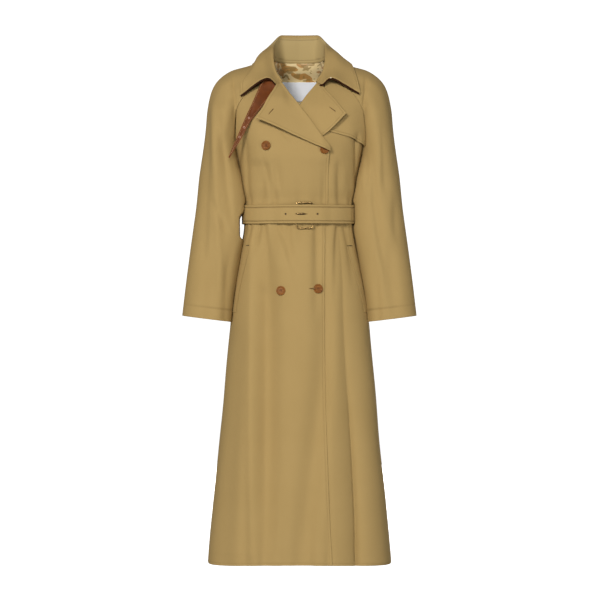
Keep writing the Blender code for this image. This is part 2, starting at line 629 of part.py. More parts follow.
def build_coat():
    """Clear the scene and build every piece of the coat."""
    for item in list(bpy.data.objects):
        bpy.data.objects.remove(item)
    bpy.context.scene.collection.children.link(bpy.data.collections.new("trench_coat"))
    build_front("front_right", -1, OVER_EDGE, 23, stack_over)
    build_front("front_left", 1, UNDER_EDGE, 25, lambda x, z: 0 * x)
    build_back()
    left = sleeve_grid()
    shell("sleeve_left", left, KHAKI, merge=True)
    shell("sleeve_right", mirrored(left), KHAKI, merge=True)
    build_lapels()
    build_collar()
    build_storm_flap()
    build_latch()
    build_belt()
    build_buckle()
    build_loops()
    build_welts()
    build_buttons()
    build_lining()


build_coat()
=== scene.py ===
"""Looks of a double-breasted raglan trench coat, filled out as worn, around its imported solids.

Lengths are millimetres until they enter a mesh, which is in metres. +Z is up, the front faces -Y and the wearer's
left is +X. Every cloth piece is a grid of outer points: its columns run round to +X at the front and its rows run up,
so that its faces point outwards.
"""
from __future__ import annotations

import logging
import math
from dataclasses import dataclass, field
from enum import Enum

import bpy
import numpy as np
from bpy.types import Node, NodeSocket, NodeTree, Object
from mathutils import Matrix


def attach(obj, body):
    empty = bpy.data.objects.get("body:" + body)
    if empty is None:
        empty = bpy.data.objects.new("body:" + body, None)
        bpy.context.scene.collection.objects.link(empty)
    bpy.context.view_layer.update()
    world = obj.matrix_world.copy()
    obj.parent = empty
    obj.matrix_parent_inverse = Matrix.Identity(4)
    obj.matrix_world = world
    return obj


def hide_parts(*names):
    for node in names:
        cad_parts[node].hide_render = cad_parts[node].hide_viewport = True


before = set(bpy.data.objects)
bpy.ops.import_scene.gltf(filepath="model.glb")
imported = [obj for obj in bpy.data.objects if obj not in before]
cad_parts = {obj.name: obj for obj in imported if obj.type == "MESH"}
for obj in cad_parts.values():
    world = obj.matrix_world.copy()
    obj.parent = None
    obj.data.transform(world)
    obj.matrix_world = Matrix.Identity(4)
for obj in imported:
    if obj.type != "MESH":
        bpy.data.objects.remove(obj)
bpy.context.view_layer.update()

LOG = logging.getLogger("trench_coat")
MM = 0.001
Array = np.ndarray
Mesh = tuple[np.ndarray, np.ndarray]        # vertices and faces
Triple = tuple[float, float, float]
WALL = 1.5          # gabardine with its lining
LAYER = 2.3         # step from one cloth layer to the next
SEAM = 0.02         # gap between sewn pieces
STITCH_AT = 6.0     # topstitching's distance from an edge
EDGE_LINES = (0.0, 0.45, 1.1, 2.2, 4.4, 5.3, 6.0, 6.7, 7.8, 10.0)   # grid lines that shape a turned, stitched edge


# ---- curves and grids ----

def curve(at: Array, xs: Array, ys: Array) -> Array:
    """Read a column along a smooth curve that never overshoots its rows.

    Cubic Hermite pieces whose slope at a row is the harmonic mean of the slopes beside it, or 0 at a turning point.

    Args:
        at: Places to read at.
        xs: Rising places of the rows.
        ys: The rows' values.

    Returns:
        A value for each place, held at the end rows' values outside them.
    """
    xs = np.asarray(xs, float)
    ys = np.asarray(ys, float)
    step = np.diff(xs)
    slope = np.diff(ys) / step
    tangent = np.zeros(len(xs))
    same = slope[1:] * slope[:-1] > 0
    tangent[1:-1][same] = (2 * slope[1:] * slope[:-1] / (slope[1:] + slope[:-1] + 1e-12))[same]
    tangent[0] = slope[0]
    tangent[-1] = slope[-1]
    at = np.clip(np.asarray(at, float), xs[0], xs[-1])
    k = np.clip(np.searchsorted(xs, at) - 1, 0, len(step) - 1)
    t = (at - xs[k]) / step[k]
    return ((1 + 2 * t) * (1 - t) ** 2 * ys[k] + t * (1 - t) ** 2 * step[k] * tangent[k]
            + t * t * (3 - 2 * t) * ys[k + 1] + t * t * (t - 1) * step[k] * tangent[k + 1])


class Table:
    """A short table of named columns, read along smooth curves."""

    def __init__(self, columns: str, rows: list[tuple[float, ...]]) -> None:
        """Keep each column as an array under its name."""
        self.columns = dict(zip(columns.split(), np.array(rows, float).T))

    def __getitem__(self, name: str) -> Array:
        """One column."""
        return self.columns[name]

    def read(self, name: str, at: Array) -> Array:
        """Read one column along its smooth curve, at places in the first column."""
        return curve(at, next(iter(self.columns.values())), self[name])


def ramp(low: float, high: float, x: Array) -> Array:
    """Rise smoothly from 0 at low to 1 at high: 3t^2 - 2t^3."""
    t = np.clip((np.asarray(x, float) - low) / (high - low), 0, 1)
    return t * t * (3 - 2 * t)


def through(points: Array, at: Array) -> Array:
    """Read a smooth curve through points (Catmull-Rom) at places counted in those points.

    Args:
        points: Shape (n, ...), one entry for each place 0, 1, 2...
        at: Places from 0 to n - 1.

    Returns:
        Shape (len(at), ...).
    """
    points = np.asarray(points, float)
    ends = np.concatenate([2 * points[:1] - points[1:2], points, 2 * points[-1:] - points[-2:-1]])
    k = np.clip(np.asarray(at).astype(int), 0, len(points) - 2)
    t = (at - k).reshape((-1,) + (1,) * (points.ndim - 1))
    a, b, c, d = (ends[k + j] for j in range(4))
    return 0.5 * (2 * b + (c - a) * t + (2 * a - 5 * b + 4 * c - d) * t ** 2 + (3 * b - a - 3 * c + d) * t ** 3)


def unit(vectors: Array) -> Array:
    """Scale vectors to length 1."""
    return vectors / np.maximum(np.linalg.norm(vectors, axis=-1, keepdims=True), 1e-9)


def normals(grid: Array) -> Array:
    """Outward directions of a grid: the column step crossed with the row step."""
    return unit(np.cross(np.gradient(grid, axis=1), np.gradient(grid, axis=0)))


def from_side(grid: Array, side: str) -> Array:
    """Distance of each point from one side of its grid, measured along the cloth.

    Args:
        grid: Outer points.
        side: "l" or "r" for the first or last column, "b" or "t" for the first or last row.

    Returns:
        Distances in mm, in the grid's shape.
    """
    axis = 1 if side in "lr" else 0
    step = np.linalg.norm(np.diff(grid, axis=axis), axis=-1)
    start = np.zeros_like(np.take(step, [0], axis=axis))
    run = np.concatenate([start, np.cumsum(step, axis=axis)], axis=axis)
    return run if side in "lb" else np.take(run, [-1], axis=axis) - run


def way_along(points: Array) -> Array:
    """Length of a line of points up to each of them."""
    return np.concatenate([[0], np.cumsum(np.linalg.norm(np.diff(points, axis=0), axis=1))])


def near(grid: Array, sides: str) -> Array:
    """Distance of each point from the nearest of several sides, or a metre where there are none."""
    return np.min([from_side(grid, side) for side in sides], axis=0) if sides else np.full(grid.shape[:2], 1000.0)


def shares(lengths: Array, count: int, start: bool, end: bool) -> Array:
    """Places across a panel, row by row, with extra lines beside the edges that are turned and stitched.

    Args:
        lengths: Width of each row in mm, shape (rows, 1).
        count: Even steps between the edge lines.
        start: Whether the first side has edge lines.
        end: Whether the last side has them.

    Returns:
        Shape (rows, columns), from 0 to 1.
    """
    lines = np.array(EDGE_LINES)[None, :] / np.maximum(lengths, 3 * EDGE_LINES[-1])
    low = lines[:, -1:] if start else 0 * lengths
    high = 1 - lines[:, -1:] if end else 1 + 0 * lengths
    parts = [lines[:, :-1]] if start else []
    parts.append(low + (high - low) * np.linspace(0, 1, count + 1)[None, :])
    if end:
        parts.append(1 - lines[:, -2::-1])
    return np.concatenate(parts, axis=1)


def edged(start: float, end: float, count: int, length: float = 1.0) -> Array:
    """Even steps from start to end after the lines beside a turned edge, those lines divided by a length."""
    lines = start + np.array(EDGE_LINES) / length
    return np.concatenate([lines[:-1], np.linspace(lines[-1], end, count)])


def turns(count: int) -> Array:
    """Equal steps round a circle, in radians."""
    return np.arange(count) * 2 * math.pi / count


def mirrored(grid: Array) -> Array:
    """Mirror a grid to the other side and keep its columns running the same way round."""
    return grid[:, ::-1] * np.array([-1.0, 1.0, 1.0])


# ---- finishes ----

def linear(code: str) -> tuple[float, float, float, float]:
    """Turn an sRGB hex colour to linear red, green, blue and alpha."""
    parts = [int(code[k:k + 2], 16) / 255 for k in (1, 3, 5)]
    red, green, blue = (p / 12.92 if p <= 0.04045 else ((p + 0.055) / 1.055) ** 2.4 for p in parts)
    return red, green, blue, 1.0


def feed(node: Node, inputs: dict) -> None:
    """Feed a node's inputs, by name or number: each with an output, a node's first output, or a plain value."""
    for socket, value in inputs.items():
        if isinstance(value, Node):
            value = value.outputs[0]
        if isinstance(value, NodeSocket):
            node.id_data.links.new(value, node.inputs[socket])
        else:
            node.inputs[socket].default_value = value


def add(tree: NodeTree, kind: str, inputs: dict | None = None, **settings: object) -> Node:
    """Add a node with its settings and links.

    Args:
        tree: The material's node tree.
        kind: Blender's name of the node type.
        inputs: What feeds its inputs.
        settings: The node's own properties.

    Returns:
        The new node.
    """
    made = tree.nodes.new(kind)
    for name, value in settings.items():
        setattr(made, name, value)
    feed(made, inputs or {})
    return made


@dataclass(frozen=True)
class Finish:
    """What every finish has: a name, the record's slot, a colour and its gloss."""

    name: str
    slot: str
    colour: str
    roughness: float = 0.6

    def material(self) -> bpy.types.Material:
        """Make the material once, and return the same one after that."""
        known = bpy.data.materials.get(self.name)
        if known:
            return known
        made = bpy.data.materials.new(self.name)
        made.use_nodes = True
        feed(made.node_tree.nodes["Principled BSDF"], {
            "Base Color": linear(self.colour), "Roughness": self.roughness, **self.detail(made.node_tree)})
        return made

    def detail(self, tree: NodeTree) -> dict:
        """Add the finish's own nodes and return what feeds the main shader; the plain one has none."""
        return {}

    def layer(self, tree: NodeTree, *layers: tuple) -> NodeSocket:
        """Lay colours over the finish's own, each by a share that follows a value.

        Args:
            tree: The material's node tree.
            layers: The value's output, its low and high ends, the share at either, and the colour.

        Returns:
            The colour's output.
        """
        base = linear(self.colour)
        for value, low, high, at_low, at_high, colour in layers:
            share = add(tree, "ShaderNodeMapRange", {0: value, 1: low, 2: high, 3: at_low, 4: at_high})
            base = add(tree, "ShaderNodeMix", {0: share, 6: base, 7: linear(colour)}, data_type="RGBA").outputs[2]
        return base

    def vary(self, tree: NodeTree, value: Node, less: float, more: float) -> Node:
        """Let the roughness follow a noise, from its own value less one step to its own plus another."""
        return add(tree, "ShaderNodeMapRange", {
            0: value, 1: 0.3, 2: 0.7, 3: self.roughness - less, 4: self.roughness + more})


@dataclass(frozen=True)
class Gabardine(Finish):
    """Cotton gabardine: a tight, steep twill with a dry, even face and a faint bloom of fine hairs."""

    dark: str = "#856c3d"
    pale: str = "#b99e6a"
    # painted shade laid along the stitched grooves
    shaded_groove: str = "#4f3d20"
    # paler colour painted on the inside of the collar stand as light
    facing: str = "#b5a06f"
    rib: float = 1.1        # the real twill's ribs are 0.5 mm apart, drawn twice as wide so that they show
    steep: float = 63.0     # the ribs' angle from the weft
    sheen: float = 0.04
    relief: float = 0.00007

    def detail(self, tree: NodeTree) -> dict:
        """Ribs across the cut, threads that differ, slow shading, paler turned edges, painted shade along the stitched
        grooves and painted light inside the collar stand.

        Args:
            tree: The material's node tree.

        Returns:
            What feeds the main shader.
        """
        cut = add(tree, "ShaderNodeUVMap", uv_map="cut")
        turned = add(tree, "ShaderNodeMapping", {
            "Vector": cut, "Rotation": (0, 0, math.radians(self.steep)), "Scale": (1000, 1000, 1000)})
        ribs = add(tree, "ShaderNodeTexWave", {
            "Vector": turned, "Scale": math.pi / 10 / self.rib, "Distortion": 0.6, "Detail": 1.0,
            "Detail Scale": 1.5}, wave_type="BANDS", bands_direction="X")
        in_mm = add(tree, "ShaderNodeMapping", {"Vector": cut, "Scale": (1000, 1000, 1000)})
        threads = add(tree, "ShaderNodeTexNoise", {"Vector": in_mm, "Scale": 0.9, "Detail": 3.0})
        place = add(tree, "ShaderNodeTexCoord").outputs["Object"]
        slow = add(tree, "ShaderNodeTexNoise", {"Vector": place, "Scale": 9.0, "Detail": 3.0})
        worn = add(tree, "ShaderNodeAttribute", attribute_name="edge")
        # paler colour painted on as light where this attribute is set
        painted_light = add(tree, "ShaderNodeAttribute", attribute_name="painted_light")
        # the seam attribute marks the stitched grooves, whose colour is painted darker as shade
        seam = add(tree, "ShaderNodeAttribute", attribute_name="seam")
        height = add(tree, "ShaderNodeMath", {0: ribs.outputs[1], 1: threads}, operation="ADD")
        return {
            "Base Color": self.layer(
                tree, (ribs.outputs[1], 0.1, 0.9, 0.16, 0, self.dark), (threads, 0.35, 0.65, 0.1, 0, self.dark),
                (slow, 0.35, 0.65, 0, 0.1, self.pale), (worn.outputs["Fac"], 0, 1, 0, 0.04, self.pale),
                (painted_light.outputs["Fac"], 0, 1, 0, 1, self.facing), (seam.outputs["Fac"], 0, 1, 0, 0.9, self.shaded_groove)),
            "Roughness": self.vary(tree, threads, 0.06, 0.06),
            "Normal": add(tree, "ShaderNodeBump", {"Height": height, "Distance": self.relief}),
            "Specular IOR Level": 0.2, "Sheen Weight": self.sheen, "Sheen Roughness": 0.45,
            "Sheen Tint": linear("#f1e2bd")}


@dataclass(frozen=True)
class Leather(Finish):
    """Vegetable-tanned calf, smooth side out: fine grain, a waxed shine, darker in its hollows."""

    dark: str = "#4c2814"
    edge: str = "#a5764f"
    gloss: float = 0.18

    def detail(self, tree: NodeTree) -> dict:
        """Grain cells with fine wrinkles between them, uneven dye, and a paler cut edge.

        Args:
            tree: The material's node tree.

        Returns:
            What feeds the main shader.
        """
        place = add(tree, "ShaderNodeTexCoord").outputs["Object"]
        grain = add(tree, "ShaderNodeTexVoronoi", {"Vector": place, "Scale": 1100.0}, feature="DISTANCE_TO_EDGE")
        dye = add(tree, "ShaderNodeTexNoise", {"Vector": place, "Scale": 60.0, "Detail": 5.0})
        worn = add(tree, "ShaderNodeAttribute", attribute_name="edge")
        height = add(tree, "ShaderNodeMapRange", {0: grain, 1: 0.0, 2: 0.2, 3: 0.0, 4: 1.0})
        return {
            "Base Color": self.layer(
                tree, (dye, 0.35, 0.7, 0, 0.55, self.dark), (grain, 0, 0.12, 0.3, 0, self.dark),
                (worn.outputs["Fac"], 0.55, 1, 0, 0.6, self.edge)),
            "Roughness": self.vary(tree, dye, 0.07, 0.09),
            "Normal": add(tree, "ShaderNodeBump", {"Height": height, "Distance": 0.00006, "Strength": 0.8}),
            "Specular IOR Level": self.gloss}


@dataclass(frozen=True)
class Brass(Finish):
    """Polished cast brass: warm, with faint wiping marks that break up its reflections."""

    # colour of the tarnish spots, which also paint dark reflections on the metal
    dark: str = "#3f2b12"

    def detail(self, tree: NodeTree) -> dict:
        """Wiping marks in the gloss, and dark brown spots that are partly tarnish and partly painted dark reflection.

        Args:
            tree: The material's node tree.

        Returns:
            What feeds the main shader.
        """
        place = add(tree, "ShaderNodeTexCoord").outputs["Object"]
        drawn = add(tree, "ShaderNodeMapping", {"Vector": place, "Scale": (90, 90, 900)})
        marks = add(tree, "ShaderNodeTexNoise", {"Vector": drawn, "Scale": 1.0, "Detail": 4.0})
        spots = add(tree, "ShaderNodeTexNoise", {"Vector": place, "Scale": 70.0, "Detail": 3.0})
        # the spots darken the metal as tarnish and as painted dark reflection
        return {"Base Color": self.layer(tree, (spots, 0.42, 0.6, 0.1, 0.4, self.dark)),
                "Roughness": self.vary(tree, marks, 0.08, 0.12), "Metallic": 1.0}


@dataclass(frozen=True)
class Horn(Finish):
    """Buffalo horn, turned and waxed: translucent browns in streaks that run across the disc."""

    dark: str = "#5e320c"
    pale: str = "#96602a"

    def detail(self, tree: NodeTree) -> dict:
        """Streaks drawn out across the disc, in three browns, under a waxed coat.

        Args:
            tree: The material's node tree.

        Returns:
            What feeds the main shader.
        """
        place = add(tree, "ShaderNodeTexCoord").outputs["Object"]
        drawn = add(tree, "ShaderNodeMapping", {
            "Vector": place, "Rotation": (0, math.radians(28), 0), "Scale": (60, 150, 420)})
        streaks = add(tree, "ShaderNodeTexNoise", {"Vector": drawn, "Scale": 1.0, "Detail": 4.0, "Distortion": 0.8})
        return {
            "Base Color": self.layer(tree, (streaks, 0.3, 0.5, 0.9, 0.0, self.dark),
                                     (streaks, 0.52, 0.72, 0.0, 0.7, self.pale)),
            "Coat Weight": 0.05, "Coat Roughness": 0.2, "Specular IOR Level": 0.15}


@dataclass(frozen=True)
class PrintedSatin(Finish):
    """Viscose satin with a loose all-over print of leaf-like blotches in golds: slippery, with long highlights."""

    motif: str = "#b8843f"
    shade: str = "#957a45"
    size: float = 38.0      # a blotch is about 20 mm across

    def detail(self, tree: NodeTree) -> dict:
        """Two prints of drawn-out blotches with broken edges, over a fine satin weave.

        Args:
            tree: The material's node tree.

        Returns:
            What feeds the main shader.
        """
        place = add(tree, "ShaderNodeTexCoord").outputs["Object"]
        turned = add(tree, "ShaderNodeMapping", {
            "Vector": place, "Rotation": (0, math.radians(38), 0), "Scale": (1.0, 1.0, 1.9)})
        large = add(tree, "ShaderNodeTexNoise", {
            "Vector": turned, "Scale": 1000 / self.size, "Detail": 1.0, "Distortion": 0.7})
        small = add(tree, "ShaderNodeTexNoise", {
            "Vector": turned, "Scale": 1900 / self.size, "Detail": 1.0, "Distortion": 0.5})
        weave = add(tree, "ShaderNodeTexNoise", {"Vector": place, "Scale": 900.0, "Detail": 2.0})
        bump = add(tree, "ShaderNodeBump", {"Height": weave, "Distance": 0.00005, "Strength": 0.5})
        return {
            "Base Color": self.layer(tree, (large, 0.53, 0.545, 0.0, 0.9, self.motif),
                                     (small, 0.56, 0.575, 0.0, 0.75, self.shade)),
            "Normal": bump, "Sheen Weight": 0.2, "Anisotropic": 0.4}


@dataclass(frozen=True)
class WovenTape(Finish):
    """Woven polyester satin tape: white, close weft ribs, a soft shine."""

    dark: str = "#d3dbe6"
    rib: float = 1.2        # real ribs are 0.3 mm apart, drawn coarser so that they show

    def detail(self, tree: NodeTree) -> dict:
        """Level weft ribs and a slightly greyer hem.

        Args:
            tree: The material's node tree.

        Returns:
            What feeds the main shader.
        """
        cut = add(tree, "ShaderNodeUVMap", uv_map="cut")
        in_mm = add(tree, "ShaderNodeMapping", {"Vector": cut, "Scale": (1000, 1000, 1000)})
        ribs = add(tree, "ShaderNodeTexWave", {"Vector": in_mm, "Scale": math.pi / 10 / self.rib},
                   wave_type="BANDS", bands_direction="Y")
        worn = add(tree, "ShaderNodeAttribute", attribute_name="edge")
        bump = add(tree, "ShaderNodeBump", {"Height": ribs.outputs[1], "Distance": 0.00006, "Strength": 0.6})
        return {
            "Base Color": self.layer(tree, (ribs.outputs[1], 0.0, 1.0, 0.22, 0.0, self.dark),
                                     (worn.outputs["Fac"], 0.2, 1.0, 0.0, 0.4, self.dark)),
            "Normal": bump, "Sheen Weight": 0.15}


@dataclass(frozen=True)
class Thread(Finish):
    """Spun polyester sewing thread: twisted strands, barely lighter than its cloth."""

    dark: str = "#7a6236"

    def detail(self, tree: NodeTree) -> dict:
        """Twist marks along the thread, from a noise finer than a stitch.

        Args:
            tree: The material's node tree.

        Returns:
            What feeds the main shader.
        """
        place = add(tree, "ShaderNodeTexCoord").outputs["Object"]
        twist = add(tree, "ShaderNodeTexNoise", {"Vector": place, "Scale": 2200.0, "Detail": 1.0})
        return {"Base Color": self.layer(tree, (twist, 0.35, 0.65, 0.45, 0.0, self.dark))}


GABARDINE = Gabardine("cotton_gabardine", "gabardine", "#a78d5a", 0.85)
LEATHER = Leather("calf_leather", "leather", "#713b15", 0.6)
# the calf leather painted near black as shade, for the under-collar under the leaf's arches
SHADED_LEATHER = Leather("calf_leather_painted_shade", "leather", "#321a0d", 0.7, dark="#1c0d05", edge="#3c2112", gloss=0.05)
BRASS = Brass("polished_brass", "brass", "#a08456", 0.26)
# near-white metal so that the small stud shows as a pale dot: a painted glint
STUD_GLINT = Brass("stud_brass_painted_glint", "brass", "#fff6e0", 0.55, dark="#d8c8a0")
HORN = Horn("buffalo_horn", "horn", "#7f5022", 0.5)
LINING = PrintedSatin("printed_viscose_satin", "lining", "#e6d09c", 0.38)
TAPE = WovenTape("woven_label_tape", "label", "#f2f7ff", 0.45)
THREAD = Thread("gabardine_thread", "gabardine", "#a98c55", 0.7)
PALE_THREAD = Thread("leather_thread", "leather", "#c8a878", 0.6, dark="#9c7d50")
DARK_THREAD = Thread("button_thread", "horn", "#5a3016", 0.6, dark="#3c1e0c")
WHITE_THREAD = Thread("label_thread", "label", "#dfe3e8", 0.6, dark="#b6bcc4")
LIPS = Thread("buttonhole_thread", "gabardine", "#8b6c3c", 0.7, dark="#5f4722")
SHADOW = Finish("slit_shadow", "gabardine", "#241505", 0.9)


# ---- pieces ----

class Held(Enum):
    """How a sheet of cloth is held."""

    HUNG = "hung"
    LAID = "laid"
    FOLDED = "folded"


def put(name: str, vertices: Array, faces: Array, finish: Finish, replaces: tuple[str, ...] = ()) -> Object:
    """Make a mesh piece from whole arrays, dress it and let it ride on the coat.

    Args:
        name: The piece's name.
        vertices: Shape (n, 3), in mm.
        faces: Shape (m, 3) or (m, 4), vertex numbers.
        finish: Its finish.
        replaces: CAD nodes that it stands for.

    Returns:
        The new object, at the origin.
    """
    mesh = bpy.data.meshes.new(name)
    mesh.from_pydata((np.asarray(vertices) * MM).tolist(), [], np.asarray(faces).tolist())
    mesh.polygons.foreach_set("use_smooth", np.ones(len(mesh.polygons), bool))
    mesh.materials.append(finish.material())
    made = bpy.data.objects.new(name, mesh)
    bpy.context.scene.collection.objects.link(made)
    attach(made, "root")
    if replaces:
        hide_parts(*replaces)
    return made


def quads(rows: int, columns: int, round_columns: bool = False, round_rows: bool = False) -> Array:
    """Faces of a grid, closed round its columns or rows where asked."""
    index = np.arange(rows * columns).reshape(rows, columns)
    if round_columns:
        index = np.concatenate([index, index[:, :1]], axis=1)
    if round_rows:
        index = np.concatenate([index, index[:1]], axis=0)
    return np.stack([index[:-1, :-1], index[:-1, 1:], index[1:, 1:], index[1:, :-1]], -1).reshape(-1, 4)


def halved(faces: Array) -> Array:
    """Split four-cornered faces into triangles."""
    return np.concatenate([faces[:, [0, 1, 2]], faces[:, [0, 2, 3]]])


@dataclass
class Cut:
    """A piece of cloth or leather as it hangs: a grid of outer points, its edges turned and stitched."""

    name: str
    grid: Array
    finish: Finish = GABARDINE
    wall: float = WALL
    turned: str = "lrbt"            # sides whose free edge is rounded over
    sewn: str = ""                  # sides that are sewn to a neighbour, rounded a little
    grooved: str = ""               # sides along which a row of topstitching pulls the cloth in
    groove_at: float = STITCH_AT
    # depth of the stitched grooves, which also sets the painted shade along them
    press: float = 0.4
    painted_light: Array | float = 0.0      # share of paler colour painted on as light, at each point
    held: Held = Held.HUNG
    rests_on: tuple[str, ...] = ()

    def __post_init__(self) -> None:
        """Round the edges over and press in the stitched lines: both move points in along the normal."""
        self.outward = normals(self.grid)
        seam = near(self.grid, self.grooved)
        # the grooves' depth is kept to paint shade along them too
        self.shaded_groove = self.press * np.exp(-((seam - self.groove_at) / 0.75) ** 2)
        sink = (0.55 * self.wall * (1 - np.clip(near(self.grid, self.turned) / 1.4, 0, 1)) ** 2
                + 0.5 * (1 - np.clip(near(self.grid, self.sewn) / 1.8, 0, 1)) ** 2 + self.shaded_groove)
        self.flat_grid = self.grid
        self.grid = self.grid - self.outward * sink[..., None]

    def line(self, side: str, distance: float, skip: float = 0.0) -> tuple[Array, Array]:
        """Trace a line on the piece at a distance from one side.

        Args:
            side: "l", "r", "b" or "t".
            distance: How far in from that side, in mm.
            skip: How much of the line is left off at both its ends, in mm.

        Returns:
            Points and outward directions, both of shape (n, 3).
        """
        run = from_side(self.flat_grid, side)
        swap = side in "bt"
        run, grid, outward = ((np.swapaxes(part, 0, 1) if swap else part)
                              for part in (run, self.grid, self.outward))
        if side in "rt":
            run, grid, outward = run[:, ::-1], grid[:, ::-1], outward[:, ::-1]
        k = np.clip((run < distance).sum(1) - 1, 0, run.shape[1] - 2)
        row = np.arange(len(run))
        t = ((distance - run[row, k]) / np.maximum(run[row, k + 1] - run[row, k], 1e-6))[:, None]
        points = grid[row, k] * (1 - t) + grid[row, k + 1] * t
        facing = unit(outward[row, k] * (1 - t) + outward[row, k + 1] * t)
        way = way_along(points)
        kept = (way >= skip) & (way <= way[-1] - skip)
        return points[kept], facing[kept]

    def spot(self, row: int, column: int, along: Array) -> Spot:
        """A place on the piece, at one of its grid's points."""
        return Spot(self.grid[row, column], self.outward[row, column], along)

    def make(self) -> Object:
        rows, columns = self.grid.shape[:2]
        made = put(self.name, self.grid.reshape(-1, 3), quads(rows, columns), self.finish, (self.name,))
        mesh = made.data
        across = from_side(self.flat_grid, "l")
        along = np.broadcast_to(from_side(self.flat_grid, "b").mean(1, keepdims=True), across.shape)
        across = across - across[:, -1:] / 2
        where = np.zeros(len(mesh.loops), np.int32)
        mesh.loops.foreach_get("vertex_index", where)
        flat = np.stack([across.ravel()[where], along.ravel()[where]], -1) * MM
        mesh.uv_layers.new(name="cut").data.foreach_set("uv", flat.astype(np.float32).ravel())
        worn = np.exp(-near(self.flat_grid, self.turned) / 1.6).ravel()
        painted_light = (self.painted_light + 0 * across).ravel()
        # the seam attribute carries the painted shade of the stitched grooves
        for name, values in (("edge", worn), ("seam", self.shaded_groove.ravel()), ("painted_light", painted_light)):
            mesh.attributes.new(name, "FLOAT", "POINT").data.foreach_set("value", values.astype(np.float32))
        wall = made.modifiers.new("wall", "SOLIDIFY")
        wall.thickness = self.wall * MM
        wall.offset = -1
        wall.use_quality_normals = True
        corner = self.grid[:-1, :-1], self.grid[:-1, 1:], self.grid[1:, 1:], self.grid[1:, :-1]
        area = 0.5 * np.linalg.norm(np.cross(corner[2] - corner[0], corner[3] - corner[1]), axis=-1).sum()
        width = from_side(self.grid, "l")[:, -1].max()
        length = from_side(self.grid, "b")[-1].max()
        if area < 0.4 * width * length:         # three-cornered: as wide as the triangle on its longest side is high
            width = 2 * area / length
        LOG.info("%s: cut %.0f x %.0f mm, %.4f m2", self.name, width, length, area * MM * MM)
        return made


@dataclass
class Stitching:
    """Rows of sewing thread: each stitch a short spindle that dips into the cloth at both ends."""

    name: str
    finish: Finish = THREAD
    length: float = 3.0
    gap: float = 0.9
    radius: float = 0.34
    centres: list[Array] = field(default_factory=list)
    along: list[Array] = field(default_factory=list)
    facing: list[Array] = field(default_factory=list)

    def row(self, points: Array, outward: Array) -> None:
        """Set stitches at equal steps along a line on the cloth.

        Args:
            points: The line's points, shape (n, 3).
            outward: The cloth's outward direction at each.
        """
        way = way_along(points)
        count = int(way[-1] // (self.length + self.gap))
        middle = (np.arange(count) + 0.5) * way[-1] / count
        ends = [np.stack([np.interp(middle + shift, way, points[:, k]) for k in range(3)], -1)
                for shift in (-self.length / 2, self.length / 2)]
        self.centres.append((ends[0] + ends[1]) / 2)
        self.along.append(unit(ends[1] - ends[0]))
        self.facing.append(unit(np.stack([np.interp(middle, way, outward[:, k]) for k in range(3)], -1)))

    def sides(self, cut: Cut, sides: str, distance: float = STITCH_AT, skip: float = STITCH_AT + 1) -> None:
        """Set rows along several sides of a piece, at a distance from each and short of its ends."""
        for side in sides:
            self.row(*cut.line(side, distance, skip))

    def make(self) -> Object:
        """Carry the spindle to every stitch: centre + along * a + facing * b + side * c."""
        centre, along, facing = (np.concatenate(part)[:, None] for part in (self.centres, self.along, self.facing))
        side = np.cross(along, facing)
        turn = turns(5)
        ring = np.stack([0 * turn, np.cos(turn) * 0.8, np.sin(turn)], -1) * self.radius
        shift = np.array([self.length * 0.27, 0, 0])
        tip = np.array([self.length / 2, -0.35, 0])
        shape = np.concatenate([[tip * (-1, 1, 1)], ring - shift, ring + shift, [tip]]) + np.array([0, 0.12, 0])
        vertices = centre + along * shape[:, :1] + facing * shape[:, 1:2] + side * shape[:, 2:]
        k = np.arange(5)
        after = (k + 1) % 5
        faces = np.concatenate([
            np.stack([0 * k, 1 + after, 1 + k], -1),
            np.stack([1 + k, 1 + after, 6 + after], -1), np.stack([1 + k, 6 + after, 6 + k], -1),
            np.stack([0 * k + 11, 6 + k, 6 + after], -1)])[:, ::-1]
        whole = (faces[None] + 12 * np.arange(len(centre))[:, None, None]).reshape(-1, 3)
        LOG.info("%s: %d stitches", self.name, len(centre))
        return put(self.name, vertices.reshape(-1, 3), whole, self.finish)


def tube(path: Array, facing: Array, radius: float, sides: int = 8, closed: bool = True) -> Mesh:
    """Carry a circle along a path: point + radius * (facing * cos + side * sin).

    Args:
        path: Points, shape (n, 3).
        facing: A direction square to the path at each point, or one for all.
        radius: The circle's radius.
        sides: Its corners.
        closed: Whether the path joins itself.

    Returns:
        Vertices and faces.
    """
    along = unit(np.roll(path, -1, 0) - np.roll(path, 1, 0) if closed else np.gradient(path, axis=0))
    facing = unit(np.broadcast_to(facing, path.shape) - along * (along * facing).sum(-1, keepdims=True))
    side = np.cross(along, facing)
    turn = turns(sides)
    grid = (path[:, None] + radius * (facing[:, None] * np.cos(turn)[None, :, None]
                                      + side[:, None] * np.sin(turn)[None, :, None]))
    faces = halved(quads(len(path), sides, round_columns=True, round_rows=closed))
    if closed:
        return grid.reshape(-1, 3), faces
    vertices = np.concatenate([grid.reshape(-1, 3), path[:1], path[-1:]])
    k = np.arange(sides)
    after = (k + 1) % sides
    end = len(path) * sides
    caps = np.concatenate([np.stack([after, k, 0 * k + end], -1),
                           np.stack([end - sides + k, end - sides + after, 0 * k + end + 1], -1)])
    return vertices, np.concatenate([faces, caps])


def joined(parts: list[Mesh]) -> Mesh:
    """Put several meshes' vertices and faces together."""
    starts = np.cumsum([0] + [len(vertices) for vertices, _ in parts])
    return (np.concatenate([vertices for vertices, _ in parts]),
            np.concatenate([faces + start for (_, faces), start in zip(parts, starts)]))


